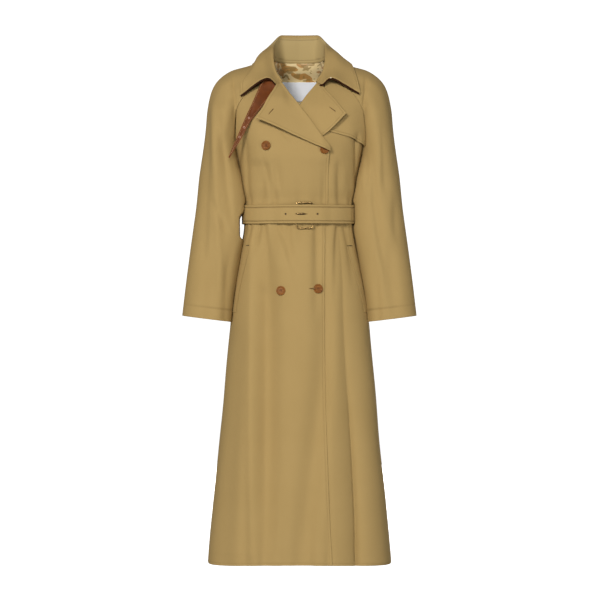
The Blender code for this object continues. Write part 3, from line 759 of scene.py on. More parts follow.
@dataclass(frozen=True)
class Spot:
    """A place on a surface: a point, its outward direction and a direction along the surface."""

    point: Array
    outward: Array
    along: Array

    def lay(self, flat: Array) -> Array:
        """Carry points given as (along, across, out) to the surface."""
        along = unit(self.along - self.outward * (self.along @ self.outward))
        across = np.cross(self.outward, along)
        return self.point + flat[..., :1] * along + flat[..., 1:2] * across + flat[..., 2:] * self.outward


def buttonhole(spot: Spot, length: float) -> Mesh:
    """The thread-bound lips of a keyhole buttonhole: an oval cord with a round end."""
    turn = turns(28)
    wide = 0.75 + 0.75 * ramp(0.3, 1.0, np.cos(turn))
    flat = np.stack([np.cos(turn) * length / 2, np.sin(turn) * wide, 0 * turn + 0.15], -1)
    return tube(spot.lay(flat), spot.outward, 0.55, 6)


def slit(spot: Spot, length: float, wide: float = 1.2) -> Mesh:
    """A dark oval of painted shade inside a buttonhole or an eyelet: a fan round its middle."""
    turn = turns(20)
    flat = np.stack([np.cos(turn) * length / 2, np.sin(turn) * wide, 0 * turn + 0.12], -1)
    vertices = np.concatenate([spot.lay(flat), spot.lay(np.array([[0, 0, 0.12]]))])
    k = np.arange(20)
    return vertices, np.stack([k, (k + 1) % 20, 0 * k + 20], -1)


def eyelet(spot: Spot, radius: float, cord: float) -> Mesh:
    """A bound ring round an eyelet."""
    turn = turns(20)
    flat = np.stack([np.cos(turn) * radius, np.sin(turn) * radius, 0 * turn], -1)
    return tube(spot.lay(flat), spot.outward, cord, 7)


# ---- the body's form ----

@dataclass(frozen=True)
class Fold:
    """A soft fold that runs down the cloth. Rows are (height, place, reach before, reach after, depth).

    Its depth across is depth * exp(-(distance / reach)^power), with a reach of its own on either side, so that one
    side is steeper than the other. A power near 1 makes its middle a crisp line. A depth below 0 is a ridge.
    """

    rows: tuple[tuple[float, float, float, float, float], ...]
    fade: float = 25.0
    power: float = 2.0

    def at(self, place: Array, z: Array) -> Array:
        """How far the fold draws the cloth in.

        Args:
            place: Position across the cloth.
            z: Height.

        Returns:
            Depths in mm, fading to none within a short way beyond the end rows.
        """
        height, middle, before, after, depth = np.array(sorted(self.rows), float).T
        centre = curve(z, height, middle)
        reach = np.where(place < centre, curve(z, height, before), curve(z, height, after))
        ends = ramp(height[0] - self.fade, height[0], z) * ramp(height[-1] + self.fade, height[-1], z)
        return curve(z, height, depth) * ends * np.exp(-np.abs((place - centre) / reach) ** self.power)


@dataclass(frozen=True)
class Body:
    """The coat's trunk: flat ovals from hem to neck, drawn in by folds. The same sizes as its solids'."""

    hem: float = -1218.0
    dip: float = 11.0
    underarm: float = -235.0
    belt: float = -360.5
    crease_gain: float = 1.7
    sections: Table = Table(
        "z front_width front_depth back_width back_depth square", [
            (-1230, 229, 151, 229, 151, 2.3), (-1214, 228, 150, 228, 150, 2.3), (-1075, 215, 145, 215, 146, 2.3),
            (-925, 199, 139, 199, 141, 2.3), (-725, 181, 131, 181, 135, 2.3), (-560, 164, 124, 164, 129, 2.3),
            (-440, 145, 112, 145, 112, 2.3), (-386, 138, 98.5, 138, 92.5, 2.3),
            (-335, 138, 98.5, 138, 92.5, 2.3), (-300, 145, 107, 145, 99, 2.4), (-235, 152, 116, 152, 107, 2.5),
            (-170, 166, 115, 163, 112, 2.7), (-114, 176, 106, 168, 112, 2.9), (-66, 200, 82, 160, 105, 3.0),
            (-32, 205, 59, 143, 97, 2.9), (0, 205, 37, 122, 87, 2.8), (38, 205, 16, 68, 72, 2.8)])
    front_seam: Table = Table(
        "z x", [(-235, 152), (-170, 158), (-114, 156), (-92, 148), (-66, 130), (-32, 101), (-2, 74)])
    back_seam: Table = Table(
        "z x", [(-235, 152), (-185, 157), (-135, 155), (-95, 146), (-50, 122), (-5, 88), (34, 51)])
    over_edge: Table = Table(
        "z x", [(-1214, 80), (-1080, 73), (-775, 64.5), (-400, 64), (-330, 71), (-208, 71.5), (-173, 50.4),
                (-135, 24.3), (-86, -14), (-39, -49.5)])
    under_edge: Table = Table(
        "z x", [(-1214, 60), (-300, 60), (-250, 56), (-205, 40), (-160, 22), (-120, 8), (-88, -9.8), (-41, -45.1)])
    neck_top: Table = Table("z x", [(-39, 44.4), (-20, 62), (-2, 70)])
    # the main folds, which the solids have too
    front_folds: tuple[Fold, ...] = (
        Fold(((-1214, -80, 22, 32, 10), (-1000, -83, 21, 34, 20), (-850, -84, 20, 34, 24), (-600, -85, 20, 34, 24),
              (-480, -88, 18, 28, 14), (-400, -90, 18, 24, 4), (-250, -92, 22, 22, 3))),
        Fold(((-1214, 4, 30, 26, 14), (-1071, 23, 30, 24, 13), (-850, 48, 30, 22, 13), (-733, 60, 28, 20, 12),
              (-600, 64, 28, 20, 10), (-480, 62, 26, 22, 6), (-400, 50, 26, 26, 3), (-250, 44, 34, 34, 2))),
        Fold(((-1214, 143.5, 22, 11, 16), (-1094, 141, 22, 12, 15), (-982, 136, 22, 12, 14), (-871, 128.5, 22, 12, 12),
              (-737, 117, 22, 12, 9), (-600, 110, 20, 12, 7), (-480, 106, 20, 13, 6), (-400, 101, 15, 15, 5),
              (-250, 96, 17, 17, 3)), power=1.2),
        Fold(((-1214, -185, 24, 24, 5), (-850, -168, 24, 24, 5), (-600, -150, 24, 24, 3), (-400, -128, 24, 24, 0),
              (-250, -110, 24, 24, 3))))
    back_folds: tuple[Fold, ...] = (
        Fold(((-1214, -120, 24, 24, 14), (-850, -104, 24, 24, 9), (-600, -92, 24, 24, 5), (-400, -78, 24, 24, 2),
              (-250, -70, 24, 24, 3))),
        Fold(((-1214, 38, 30, 30, 9), (-850, 30, 30, 30, 6), (-600, 22, 30, 30, 4), (-400, 16, 30, 30, 2),
              (-250, 12, 30, 30, 2))),
        Fold(((-1214, 140, 22, 22, 12), (-850, 124, 22, 22, 9), (-600, 108, 22, 22, 6), (-400, 92, 22, 22, 3),
              (-250, 80, 22, 22, 2))))
    # creases that the cloth alone shows
    front_creases: tuple[Fold, ...] = (
        Fold(((-1218, -134, 10, 16, 3.5), (-1050, -131, 10, 16, 2), (-800, -128, 10, 16, 0))),
        Fold(((-1218, -92, 9, 13, 3), (-1120, -91, 9, 13, 0))),
        Fold(((-1218, -39, 8, 14, 3), (-1150, -39, 8, 14, 1.5), (-1000, -38, 8, 14, 0))),
        Fold(((-1218, 27, 9, 9, 2.5), (-1100, 25, 9, 9, 0))),
        Fold(((-1218, 70, 9, 7, 2), (-1080, 68, 9, 7, 0))),
        Fold(((-1218, 200, 32, 22, -5), (-1000, 186, 30, 20, -5), (-700, 166, 26, 18, -4), (-520, 150, 20, 14, -2),
              (-430, 138, 16, 10, 0))),
        Fold(((-1190, -116, 34, 16, -2), (-1000, -117, 36, 16, -4.8), (-600, -118, 34, 16, -5),
              (-460, -117, 26, 14, -3), (-400, -115, 12, 9, 0)), power=1.2),
        Fold(((-1218, 143.5, 3, 4, 3.2), (-1094, 141, 3, 4, 3), (-982, 136, 3, 4, 2.4), (-871, 128.5, 3, 4, 1.4),
              (-780, 121, 3, 4, 0)), power=1.4),
        Fold(((-545, 0, 6, 16, 0), (-500, -14, 6, 16, 1.8), (-450, -30, 6, 15, 2.8), (-400, -50, 5, 12, 3.2),
              (-383, -56, 4, 9, 1.5))),
        Fold(((-640, 38, 9, 9, 0), (-520, 42, 10, 10, 2.6), (-420, 43, 9, 9, 3.4), (-388, 44, 6, 6, 1.8))),
        Fold(((-470, -114, 6, 9, 0), (-425, -109, 5, 9, 3.4), (-388, -98, 4, 8, 3.8))),
        Fold(((-520, -76, 7, 10, 0), (-430, -84, 6, 9, 2.4), (-388, -88, 5, 6, 3))),
        Fold(((-500, -20, 7, 10, 0), (-430, -25, 6, 9, 1.8), (-388, -27, 5, 6, 2.4))),
        Fold(((-600, 88, 7, 9, 0), (-440, 92, 6, 9, 2.6), (-388, 96, 5, 6, 3.2))),
        Fold(((-560, 134, 8, 9, 0), (-450, 124, 6, 8, 3), (-388, 114, 5, 6, 3.6))),
        Fold(((-200, -12, 3, 7, 0), (-187, -20, 3, 7, 1.6), (-172, -38, 3, 7, 2), (-158, -47, 3, 7, 0)), fade=6.0),
        Fold(((-338, -94, 6, 9, 2.6), (-300, -92, 8, 10, 2.2), (-240, -86, 9, 12, 0))),
        Fold(((-338, -62, 6, 8, 2), (-290, -58, 9, 14, 2.2), (-220, -54, 10, 16, 0))),
        Fold(((-338, 2, 6, 9, 1.8), (-285, 0, 9, 12, 1.4), (-240, -4, 9, 12, 0))),
        Fold(((-330, -64, 5, 9, 1.2), (-270, -80, 6, 11, 2.4), (-208, -92, 5, 9, 0))),
        Fold(((-318, -44, 5, 9, 0.8), (-265, -55, 6, 11, 2.0), (-214, -64, 5, 9, 0))),
        Fold(((-338, 58, 6, 8, 2.2), (-290, 62, 8, 10, 2), (-230, 64, 9, 12, 0))),
        Fold(((-338, 98, 6, 8, 2.6), (-290, 98, 8, 12, 2.4), (-215, 100, 9, 14, 0))),
        Fold(((-338, -126, 3, 9, 1.5), (-290, -131, 3, 9, 2.6), (-225, -132, 3, 9, 2.6), (-180, -130, 4, 9, 0))),
        Fold(((-338, 124, 8, 5, 1.5), (-284, 126, 9, 5, 1), (-230, 127, 9, 5, 0), (-176, 130, 8, 5, 0))),
        Fold(((-320, 141, 6, 3, 0), (-262, 141, 6, 3, 3.5), (-180, 141, 6, 3, 4.5), (-160, 140, 6, 3, 0)), power=1.4))
    back_creases: tuple[Fold, ...] = (
        Fold(((-1218, -168, 14, 16, 6), (-900, -150, 14, 16, 4), (-600, -132, 12, 12, 1), (-480, -120, 10, 10, 0))),
        Fold(((-1218, -44, 12, 16, 6), (-950, -36, 12, 16, 4), (-650, -28, 12, 14, 1), (-520, -24, 10, 12, 0))),
        Fold(((-1218, 92, 14, 12, 5), (-900, 82, 14, 12, 3.5), (-620, 66, 12, 12, 1.5), (-470, 58, 9, 10, 0))),
        Fold(((-1218, 190, 12, 14, 5), (-900, 168, 12, 14, 3), (-650, 150, 12, 12, 0))),
        Fold(((-470, -112, 8, 10, 0), (-420, -100, 6, 9, 2.5), (-388, -92, 5, 7, 2.5))),
        Fold(((-500, -52, 8, 10, 0), (-425, -46, 6, 9, 2.2), (-388, -42, 5, 7, 2.4))),
        Fold(((-520, 36, 8, 10, 0), (-430, 34, 6, 9, 2), (-388, 30, 5, 7, 2.4))),
        Fold(((-460, 104, 8, 10, 0), (-420, 96, 6, 9, 2.5), (-388, 88, 5, 7, 2.5))),
        Fold(((-338, -88, 6, 9, 2.6), (-280, -84, 9, 13, 3), (-200, -96, 10, 16, 0))),
        Fold(((-338, -34, 6, 9, 2), (-270, -38, 10, 14, 2), (-180, -46, 12, 16, 0))),
        Fold(((-338, 22, 6, 9, 2), (-275, 20, 10, 14, 1.8), (-200, 18, 12, 16, 0))),
        Fold(((-338, 78, 6, 9, 2.6), (-280, 84, 9, 13, 3), (-190, 98, 10, 16, 0))),
        Fold(((-250, -128, 8, 10, 0), (-180, -110, 8, 12, 3), (-120, -84, 8, 12, 1.5), (-80, -70, 8, 10, 0))),
        Fold(((-250, 128, 10, 8, 0), (-180, 112, 12, 8, 3), (-120, 88, 12, 8, 1.5), (-80, 72, 10, 8, 0))))

    def point(self, z: Array, angle: Array) -> Array:
        """Point of the plain trunk: x = width * |sin|^(2/square), y = depth * |cos|^(2/square), each with its sign.

        Args:
            z: Height.
            angle: Angle from the front centre towards +X.

        Returns:
            Points, shape (..., 3).
        """
        front = np.cos(angle) >= 0
        width = np.where(front, self.sections.read("front_width", z), self.sections.read("back_width", z))
        depth = np.where(front, -self.sections.read("front_depth", z), self.sections.read("back_depth", z))
        power = 2 / self.sections.read("square", z)
        x = width * np.sign(np.sin(angle)) * np.abs(np.sin(angle)) ** power
        y = depth * np.abs(np.cos(angle)) ** power
        return np.stack([x, y, z * np.ones_like(x)], -1)

    def outward(self, z: Array, angle: Array) -> Array:
        """Outward direction of the plain trunk: its slope round crossed with its slope up."""
        turn = self.point(z, angle + 0.01) - self.point(z, angle - 0.01)
        rise = self.point(z + 2.0, angle) - self.point(z - 2.0, angle)
        return unit(np.cross(turn, rise))

    def angle(self, z: Array, x: Array, back: bool = False) -> Array:
        """Angle at which the trunk has the given x at a height."""
        width = self.sections.read("back_width" if back else "front_width", z)
        share = np.clip(np.abs(x) / width, 0, 1) ** (self.sections.read("square", z) / 2)
        angle = np.sign(x) * np.arcsin(share)
        return math.pi - angle if back else angle

    def depth(self, z: Array, x: Array, main: tuple[Fold, ...], creases: tuple[Fold, ...]) -> Array:
        """How far the folds draw the cloth in; none under the belt, and none of the main ones on the chest.

        Args:
            z: Height.
            x: Position across.
            main: The solids' folds.
            creases: The folds that the cloth alone shows.

        Returns:
            Depths in mm.
        """
        calm = 1 - np.exp(-((z - self.belt) / 38) ** 2)
        deep = sum(fold.at(x, z) for fold in main) * calm * (1 - ramp(-250, -200, z))
        pulled = 1 - np.exp(-((z - self.belt) / 20) ** 2)
        return deep + sum(fold.at(x, z) for fold in creases) * pulled * self.crease_gain

    def gathers(self, z: Array, angle: Array) -> Array:
        """Small uneven pleats where the belt draws the cloth in, from sines whose lengths drift round the waist."""
        around = angle * 115.0
        wave = (np.sin(around / 4.6 + 1.9 * np.sin(around / 23) + 0.6)
                + 0.7 * np.sin(around / 7.9 + 1.2 * np.sin(around / 31) + 2.1))
        above = np.exp(-np.abs(z - self.belt - 20) / 26) * (z > self.belt)
        below = np.exp(-np.abs(z - self.belt + 20) / 40) * (z <= self.belt)
        return np.clip(wave + 0.5, 0, 2.2) * (1.2 * above + 1.9 * below) * np.minimum(
            1, np.abs(z - self.belt) / 16)

    def ripple(self, z: Array, angle: Array) -> Array:
        """Slow unevenness of hanging cloth: a few long sines across and along, under 1 mm each."""
        around = angle * 140.0
        return (0.5 * np.sin(around / 19 + z / 150 + 0.4) * np.sin(z / 61 + 1.3)
                + 0.35 * np.sin(around / 11 - z / 210 + 2.0) + 0.3 * np.sin(z / 33 + around / 47))

    def skin(self, z: Array, angle: Array, out: Array | float = 0.0) -> Array:
        """Point of the trunk with its folds, moved out along its normal.

        Args:
            z: Height.
            angle: Angle from the front centre.
            out: How far out.

        Returns:
            Points, shape (..., 3).
        """
        z, angle = np.broadcast_arrays(np.asarray(z, float), np.asarray(angle, float))
        z = z - self.dip * np.sin(angle) ** 2 * ramp(-1000, self.hem, z)
        point = self.point(z, angle)
        front = self.depth(z, point[..., 0], self.front_folds, self.front_creases)
        back = self.depth(z, point[..., 0], self.back_folds, self.back_creases)
        folds = np.where(np.cos(angle) >= 0, front, back) * np.abs(np.cos(angle)) ** 0.35
        quiet = 1 - ramp(-130, -60, z)
        folds = folds + (self.gathers(z, angle) + self.ripple(z, angle)) * quiet
        return point + self.outward(z, angle) * (np.asarray(out) - folds)[..., None]

    def chest(self, x: Array, z: Array, out: Array | float = 0.0) -> Array:
        """Point of the front at x and z, moved out."""
        z, x = np.broadcast_arrays(np.asarray(z, float), np.asarray(x, float))
        return self.skin(z, self.angle(z, x), out)

    def over(self, x: Array, z: Array) -> Array:
        """How far the right front lies outside the trunk: over the left front, and over its lapel above the break."""
        side = ramp(-135, -98, x) * (1 - ramp(-60, -30, z))
        lapels = ramp(-250, -215, z) * (1 - ramp(-90, -45, z))
        return LAYER * side * (1 - 0.7 * ramp(-230, -270, z) + lapels * (1 + ramp(38, 54, x)))

    def spot(self, x: float, z: float, out: float, slant: float = 0.0) -> Spot:
        """A place on the front, its direction slanted from +X in degrees."""
        heights = np.array([z])
        way = math.radians(slant)
        return Spot(self.chest(np.array(x), heights, out)[0], self.outward(heights, self.angle(heights, x))[0],
                    np.array([math.cos(way), 0.0, math.sin(way)]))


BODY = Body()


@dataclass
class Part:
    """A sub-assembly that is built on the body."""

    body: Body = BODY

    def make(self) -> None:
        """Build its pieces."""


# ---- the trunk ----

@dataclass
class Trunk(Part):
    """Both fronts and the back, from hem to neck, with their topstitched edges and seams."""

    rows: int = 203         # about 6 mm apart
    break_z: float = -215.0         # where the lapels turn out
    front_top: float = -5.0
    back_top: float = 30.0

    def side(self, z: Array, seam: Table, back: bool) -> Array:
        """Angle of a panel's side edge: on the side seam below the underarm, less half the seam's gap."""
        x = np.where(z < self.body.underarm, 1e4, seam.read("x", z))
        angle = self.body.angle(z, x, back)
        reach = np.linalg.norm(self.body.point(z, angle + 0.02) - self.body.point(z, angle - 0.02), axis=-1) / 0.04
        trim = SEAM / 2 / reach
        return angle + trim if back else angle - trim

    def front(self, name: str, hand: int, edge: Table, over: bool) -> Cut:
        """One front: columns share out the angle from its edge or roll line to its side.

        Args:
            name: The piece's name.
            hand: 1 for the wearer's left, -1 for the right.
            edge: The front edge's x at each height.
            over: Whether this front lies on top.

        Returns:
            The cut.
        """
        z = edged(self.body.hem, self.front_top, self.rows)[:, None]
        inner = np.where(z < edge["z"][-1], edge.read("x", z), -self.body.neck_top.read("x", z))
        start = -self.body.angle(z, inner)
        end = self.side(z, self.body.front_seam, False)
        length = (end - start) * 140.0
        angle = hand * (start + (end - start) * shares(length, 64 if over else 104, True, True))
        if hand < 0:
            angle = angle[:, ::-1]
        z = z + 0 * angle
        x = self.body.point(z, angle)[..., 0]
        top_edge = self.body.over_edge.read("x", z)
        under = -1.1 * ramp(top_edge + 14, top_edge, x) * ramp(-230, -270, z)
        grid = self.body.skin(z, angle, self.body.over(x, z) if over else under)
        open_side, seam_side = ("l", "r") if hand > 0 else ("r", "l")
        return Cut(name, grid, turned=open_side + "b", sewn=seam_side, grooved=open_side + "b",
                   press=0.25)

    def back(self) -> Cut:
        """The back: columns share out the angle from one side seam to the other."""
        z = edged(self.body.hem, self.back_top, self.rows + 6)[:, None]
        start = self.side(z, self.body.back_seam, True)
        angle = start + (2 * math.pi - 2 * start) * shares((math.pi - start) * 260.0, 104, True, True)
        z = z + 0 * angle
        grid = self.body.skin(z, angle)
        middle = 0.7 * np.exp(-(grid[..., 0] / 1.6) ** 2)
        grid = grid - self.body.outward(z, angle) * middle[..., None]
        return Cut("back", grid, turned="b", sewn="lr", grooved="b")

    def make(self) -> None:
        """Build the three panels and their rows of stitches."""
        right = self.front("front_right", -1, self.body.over_edge, True)
        left = self.front("front_left", 1, self.body.under_edge, False)
        back = self.back()
        rows = Stitching("topstitch_trunk")
        for cut, side in ((right, "r"), (left, "l")):
            points, outward = cut.line(side, STITCH_AT)
            kept = points[:, 2] < self.break_z
            rows.row(points[kept], outward[kept])
        for cut in (right, left, back):
            rows.sides(cut, "b", 28.0, 6.0)
        for cut, side in ((right, "l"), (left, "r"), (back, "l"), (back, "r")):
            points, outward = cut.line(side, 5.0, 4.0)
            kept = points[:, 2] > self.body.underarm
            rows.row(points[kept], outward[kept])
        z = np.linspace(self.body.hem + 4, self.back_top - 4, 260)
        for side in (-1, 1):
            angle = self.body.angle(z, side * 3.0 + 0 * z, True)
            rows.row(self.body.skin(z, angle), self.body.outward(z, angle))
        for cut in (right, left, back):
            cut.make()
        rows.make()


@dataclass
class Sleeves(Part):
    """Raglan sleeves: half ovals between their seams, swept from the cuff over the shoulder to the neck."""

    columns: int = 96
    rows: int = 190
    cuff_tilt: float = 16.0
    tube_rows: int = 11
    section_step: float = 38.7      # height of one step between its sections
    crease_x: float = 161.5
    cap: Table = Table(
        "seam_z back_z outer_x outer_y outer_z front_y back_y crease", [
            (-2, 34, 68, 8, 38, 31, 53, 0), (-12, 14, 96, 8, 22, 42, 66, 0), (-24, -10, 130, 8, 9.5, 52, 76, 0),
            (-42, -40, 172, 6, -3, 64, 82, 2), (-66, -74, 203, 5, -26, 74, 86, 4),
            (-88, -105, 219, 4, -54, 80, 87, 4), (-112, -135, 229, 3, -100, 84, 86, 1),
            (-150, -165, 234, 2, -145, 82, 84, 0), (-192, -200, 240, 0, -195, 78, 80, 0)])
    arm: Table = Table("z inner_x outer_x centre_y front back", [
        (-622, 163, 292, -20, 54, 54), (-550, 154, 284, -16, 57, 57), (-485, 143, 276, -13, 60, 61),
        (-440, 132, 270, -11, 62, 63), (-400, 126, 265, -10, 64, 65), (-337, 124, 257, -7, 67, 68),
        (-270, 133, 249.5, -4, 71, 72),
        (-235, 146, 245, -2, 75, 76)])
    clear: Triple = (1.3, 0.6, 7.8)   # off the body: at the underarm, below it, over the belt
    soft: float = 1.4       # how softly the sleeve bends where it comes to lie against the body
    # folds of the back, by height and share of the way round from the outer line (0.5) to the back seam (1)
    back_creases: tuple[Fold, ...] = (
        Fold(((-600, 0.70, 0.04, 0.06, 0), (-450, 0.72, 0.04, 0.06, 4.6), (-300, 0.74, 0.04, 0.06, 5.0),
              (-180, 0.78, 0.05, 0.05, 0))),
        Fold(((-622, 0.86, 0.05, 0.04, 3.0), (-480, 0.88, 0.05, 0.04, 4.8), (-350, 0.90, 0.05, 0.04, 0))),
        Fold(((-450, 0.60, 0.03, 0.05, 0), (-400, 0.68, 0.03, 0.05, 3.5), (-350, 0.78, 0.03, 0.05, 0))),
        Fold(((-280, 0.94, 0.04, 0.03, 0), (-230, 0.90, 0.04, 0.03, 4.5), (-160, 0.82, 0.05, 0.04, 0))))
    # folds of each front, by height and distance from the middle
    left_creases: tuple[Fold, ...] = (
        Fold(((-600, 224, 10, 16, 0), (-520, 215, 9, 16, 4), (-427, 198, 8, 15, 6), (-330, 184, 7, 13, 6),
              (-240, 178, 7, 12, 3), (-180, 176, 7, 12, 0))),
        Fold(((-330, 214, 10, 14, 0), (-270, 210, 9, 14, 5), (-220, 208, 9, 14, 5), (-130, 204, 9, 14, 0))),
        Fold(((-622, 236, 12, 16, 1), (-560, 232, 12, 16, 5), (-500, 228, 12, 16, 5), (-400, 222, 12, 16, 0))),
        Fold(((-320, 168, 5, 7, 0), (-285, 166, 5, 7, 3), (-235, 165, 5, 7, 3), (-190, 164, 5, 7, 0))),
        Fold(((-622, 196, 10, 8, 3), (-540, 190, 10, 8, 2), (-450, 182, 9, 8, 0))),
        Fold(((-450, 244, 9, 9, 0), (-380, 236, 9, 10, 3.5), (-300, 236, 9, 10, 0))))
    right_creases: tuple[Fold, ...] = (
        Fold(((-560, 192, 9, 9, 0), (-526, 194, 9, 9, -3), (-427, 199, 9, 9, -4), (-240, 207, 9, 9, -4),
              (-117, 212, 9, 9, -3), (-80, 212, 9, 9, 0))),
        Fold(((-520, 238, 10, 16, 0), (-427, 234, 10, 16, 5), (-260, 229, 10, 14, 5), (-132, 226, 10, 14, 3),
              (-90, 224, 10, 14, 0))),
        Fold(((-400, 166, 6, 11, 0), (-304, 175, 6, 12, 5), (-220, 184, 6, 13, 5), (-157, 194, 7, 12, 3),
              (-110, 200, 7, 12, 0))),
        Fold(((-622, 222, 12, 16, 3), (-540, 219, 12, 16, 5), (-460, 216, 12, 14, 0))),
        Fold(((-622, 184, 8, 9, 3), (-520, 178, 8, 9, 3), (-420, 166, 7, 8, 0))),
        Fold(((-420, 176, 6, 9, 0), (-385, 186, 6, 10, 3.5), (-350, 204, 6, 12, 3), (-320, 216, 6, 12, 0))))

    def section(self, start: Array, outer: Array, end: Array, front: float, back: float) -> Array:
        """One section: half an oval from the front seam to the outer line, and half from there to the back seam.

        A point runs from seam to outer line by the sine of its turn and stands off by its cosine.

        Args:
            start: Front seam's point.
            outer: Outer line's point.
            end: Back seam's point.
            front: Half depth to the front.
            back: Half depth to the back.

        Returns:
            Points, shape (columns + 1, 3).
        """
        halves = []
        for seam, depth, sign in ((start, front, -1), (end, back, 1)):
            reach = abs(seam[1] - outer[1])
            depth = max(depth, reach + 0.01)
            first = -math.acos(min(reach / depth, 1))
            turn = np.linspace(first, math.pi / 2, self.columns // 2 + 1)
            share = ((np.sin(turn) - math.sin(first)) / (1 - math.sin(first)))[:, None]
            points = np.asarray(seam) + (np.asarray(outer) - np.asarray(seam)) * share
            points[:, 1] = outer[1] + sign * depth * np.cos(turn)
            halves.append(points)
        return np.concatenate([halves[0], halves[1][-2::-1]])

    def beside(self, points: Array) -> Array:
        """Lay the sleeve's inner side against the body: the softened greater of its x and the body's side."""
        y, z = points[..., 1], points[..., 2]
        rows = self.body.sections
        depth = np.where(y < 0, rows.read("front_depth", z), rows.read("back_depth", z))
        square = rows.read("square", z)
        side = rows.read("front_width", z) * (1 - np.clip(np.abs(y) / depth, 0, 0.999) ** square) ** (1 / square)
        belt = ramp(29.5, 24.5, np.abs(z - self.body.belt + 2))
        clear = (self.clear[0] + (self.clear[1] - self.clear[0]) * ramp(-235, -270, z)
                 + (self.clear[2] - self.clear[1]) * belt)
        near_body = points[..., 0] - side - clear
        soft = self.soft * ramp(-228, -262, z)
        lifted = 0.5 * (near_body + np.sqrt(near_body ** 2 + soft ** 2))
        x = np.where(z < -228, side + clear + lifted, points[..., 0])
        return np.stack([x, y, z], -1)

    def sections(self) -> Array:
        """The sections that the solid has, from the cuff to the neck."""
        made = []
        for z in np.linspace(self.arm["z"][0], self.arm["z"][-1], self.tube_rows):
            inner, outer, centre, front, back = (
                float(self.arm.read(name, z)) for name in ("inner_x", "outer_x", "centre_y", "front", "back"))
            tilt = self.cuff_tilt / 2 * float(1 - ramp(-622, -400, z))
            first = np.array([inner, centre, z - tilt])
            made.append(self.section(first, np.array([outer, centre, z + tilt]), first, front, back))
        for row in range(len(self.cap["seam_z"]) - 1, -1, -1):
            cap = {name: float(values[row]) for name, values in self.cap.columns.items()}
            first, last = self.ends(cap["seam_z"], cap["back_z"])
            section = self.section(first, np.array([cap["outer_x"], cap["outer_y"], cap["outer_z"]]), last,
                                   cap["front_y"], cap["back_y"])
            x = section[:, 0]
            trough = (np.exp(-((x - self.crease_x) / 14) ** 2) * (1 - np.exp(-((x - x[0]) / 8) ** 2))
                      * (section[:, 1] < 0))
            section[:, 1] += cap["crease"] * trough
            made.append(section)
        return np.array(made)

    def ends(self, front_z: Array, back_z: Array) -> tuple[Array, Array]:
        """The sleeve's seam points on the front and on the back, a seam's gap off them."""
        first = self.body.chest(self.body.front_seam.read("x", front_z), front_z)
        angle = self.body.angle(back_z, self.body.back_seam.read("x", back_z), True)
        last = self.body.skin(back_z, angle)
        return first + np.array([SEAM / 2, 0, 0]), last + np.array([SEAM, 0, 0])

    def grid(self, front_creases: tuple[Fold, ...], right: bool) -> Array:
        """A sleeve on the left: a smooth curve through its sections, its ends set back on the panels' seams.

        Args:
            front_creases: Folds of its front.
            right: Whether it is the right one, to be mirrored.

        Returns:
            The grid.
        """
        keys = self.sections()
        at = edged(0, len(keys) - 1, self.rows, self.section_step)
        grid = through(keys, at)
        cap_at = at - self.tube_rows
        up = cap_at > 0
        seams = (through(self.cap[name][::-1], np.clip(cap_at, 0, len(self.cap[name]) - 1))[up]
                 for name in ("seam_z", "back_z"))
        first, end = self.ends(*seams)
        fade = np.exp(-(np.arange(grid.shape[1]) / 3.0) ** 2)[None, :, None]
        grid[~up] = self.beside(grid[~up])
        if right:                               # it hangs free beside the belt's end
            x, z = grid[..., 0], grid[..., 2]
            apart = 120 + 28 * ramp(-338, -372, z) * ramp(-440, -415, z)
            grid[~up, :, 0] = (0.5 * (x + apart + np.sqrt((x - apart) ** 2 + 4.0)))[~up]
        grid[up] = grid[up] + (first - grid[up, 0])[:, None] * fade + (end - grid[up, -1])[:, None] * fade[:, ::-1]
        share = np.linspace(0, 1, grid.shape[1])[None, :] + 0 * grid[..., 0]
        z = grid[..., 2]
        facing = ramp(-0.05, 0.4, -normals(grid)[..., 1])
        sink = (sum(fold.at(share, z) for fold in self.back_creases)
                + sum(fold.at(grid[..., 0], z) for fold in front_creases) * facing)
        sink = sink + 0.5 * np.sin(share * 34 + z / 43) * np.sin(z / 57) + 0.4 * np.sin(share * 17 - z / 31)
        calm = ramp(0, 0.03, share) * ramp(1, 0.97, share) * (1 - ramp(-50, -5, z))
        crease = grid[..., 0] - self.crease_x - 0.09 * (z + 60)
        ridge = np.exp(-np.abs(crease / np.where(crease < 0, 3.0, 5.0)) ** 1.3) * (grid[..., 1] < 0)
        sink = sink + 5.0 * ridge * ramp(-165, -115, z) * ramp(-4, -26, z)
        return grid - normals(grid) * (sink * calm)[..., None]

    def make(self) -> None:
        """Build both sleeves, the right one's form mirrored, and stitch their cuffs."""
        rows = Stitching("topstitch_sleeves")
        for name, grid in (("sleeve_left", self.grid(self.left_creases, False)),
                           ("sleeve_right", mirrored(self.grid(self.right_creases, True)))):
            cut = Cut(name, grid, turned="b", grooved="b", groove_at=30.0)
            rows.sides(cut, "b", 30.0, 0.0)
            cut.make()
        rows.make()


# ---- collar and lapels ----

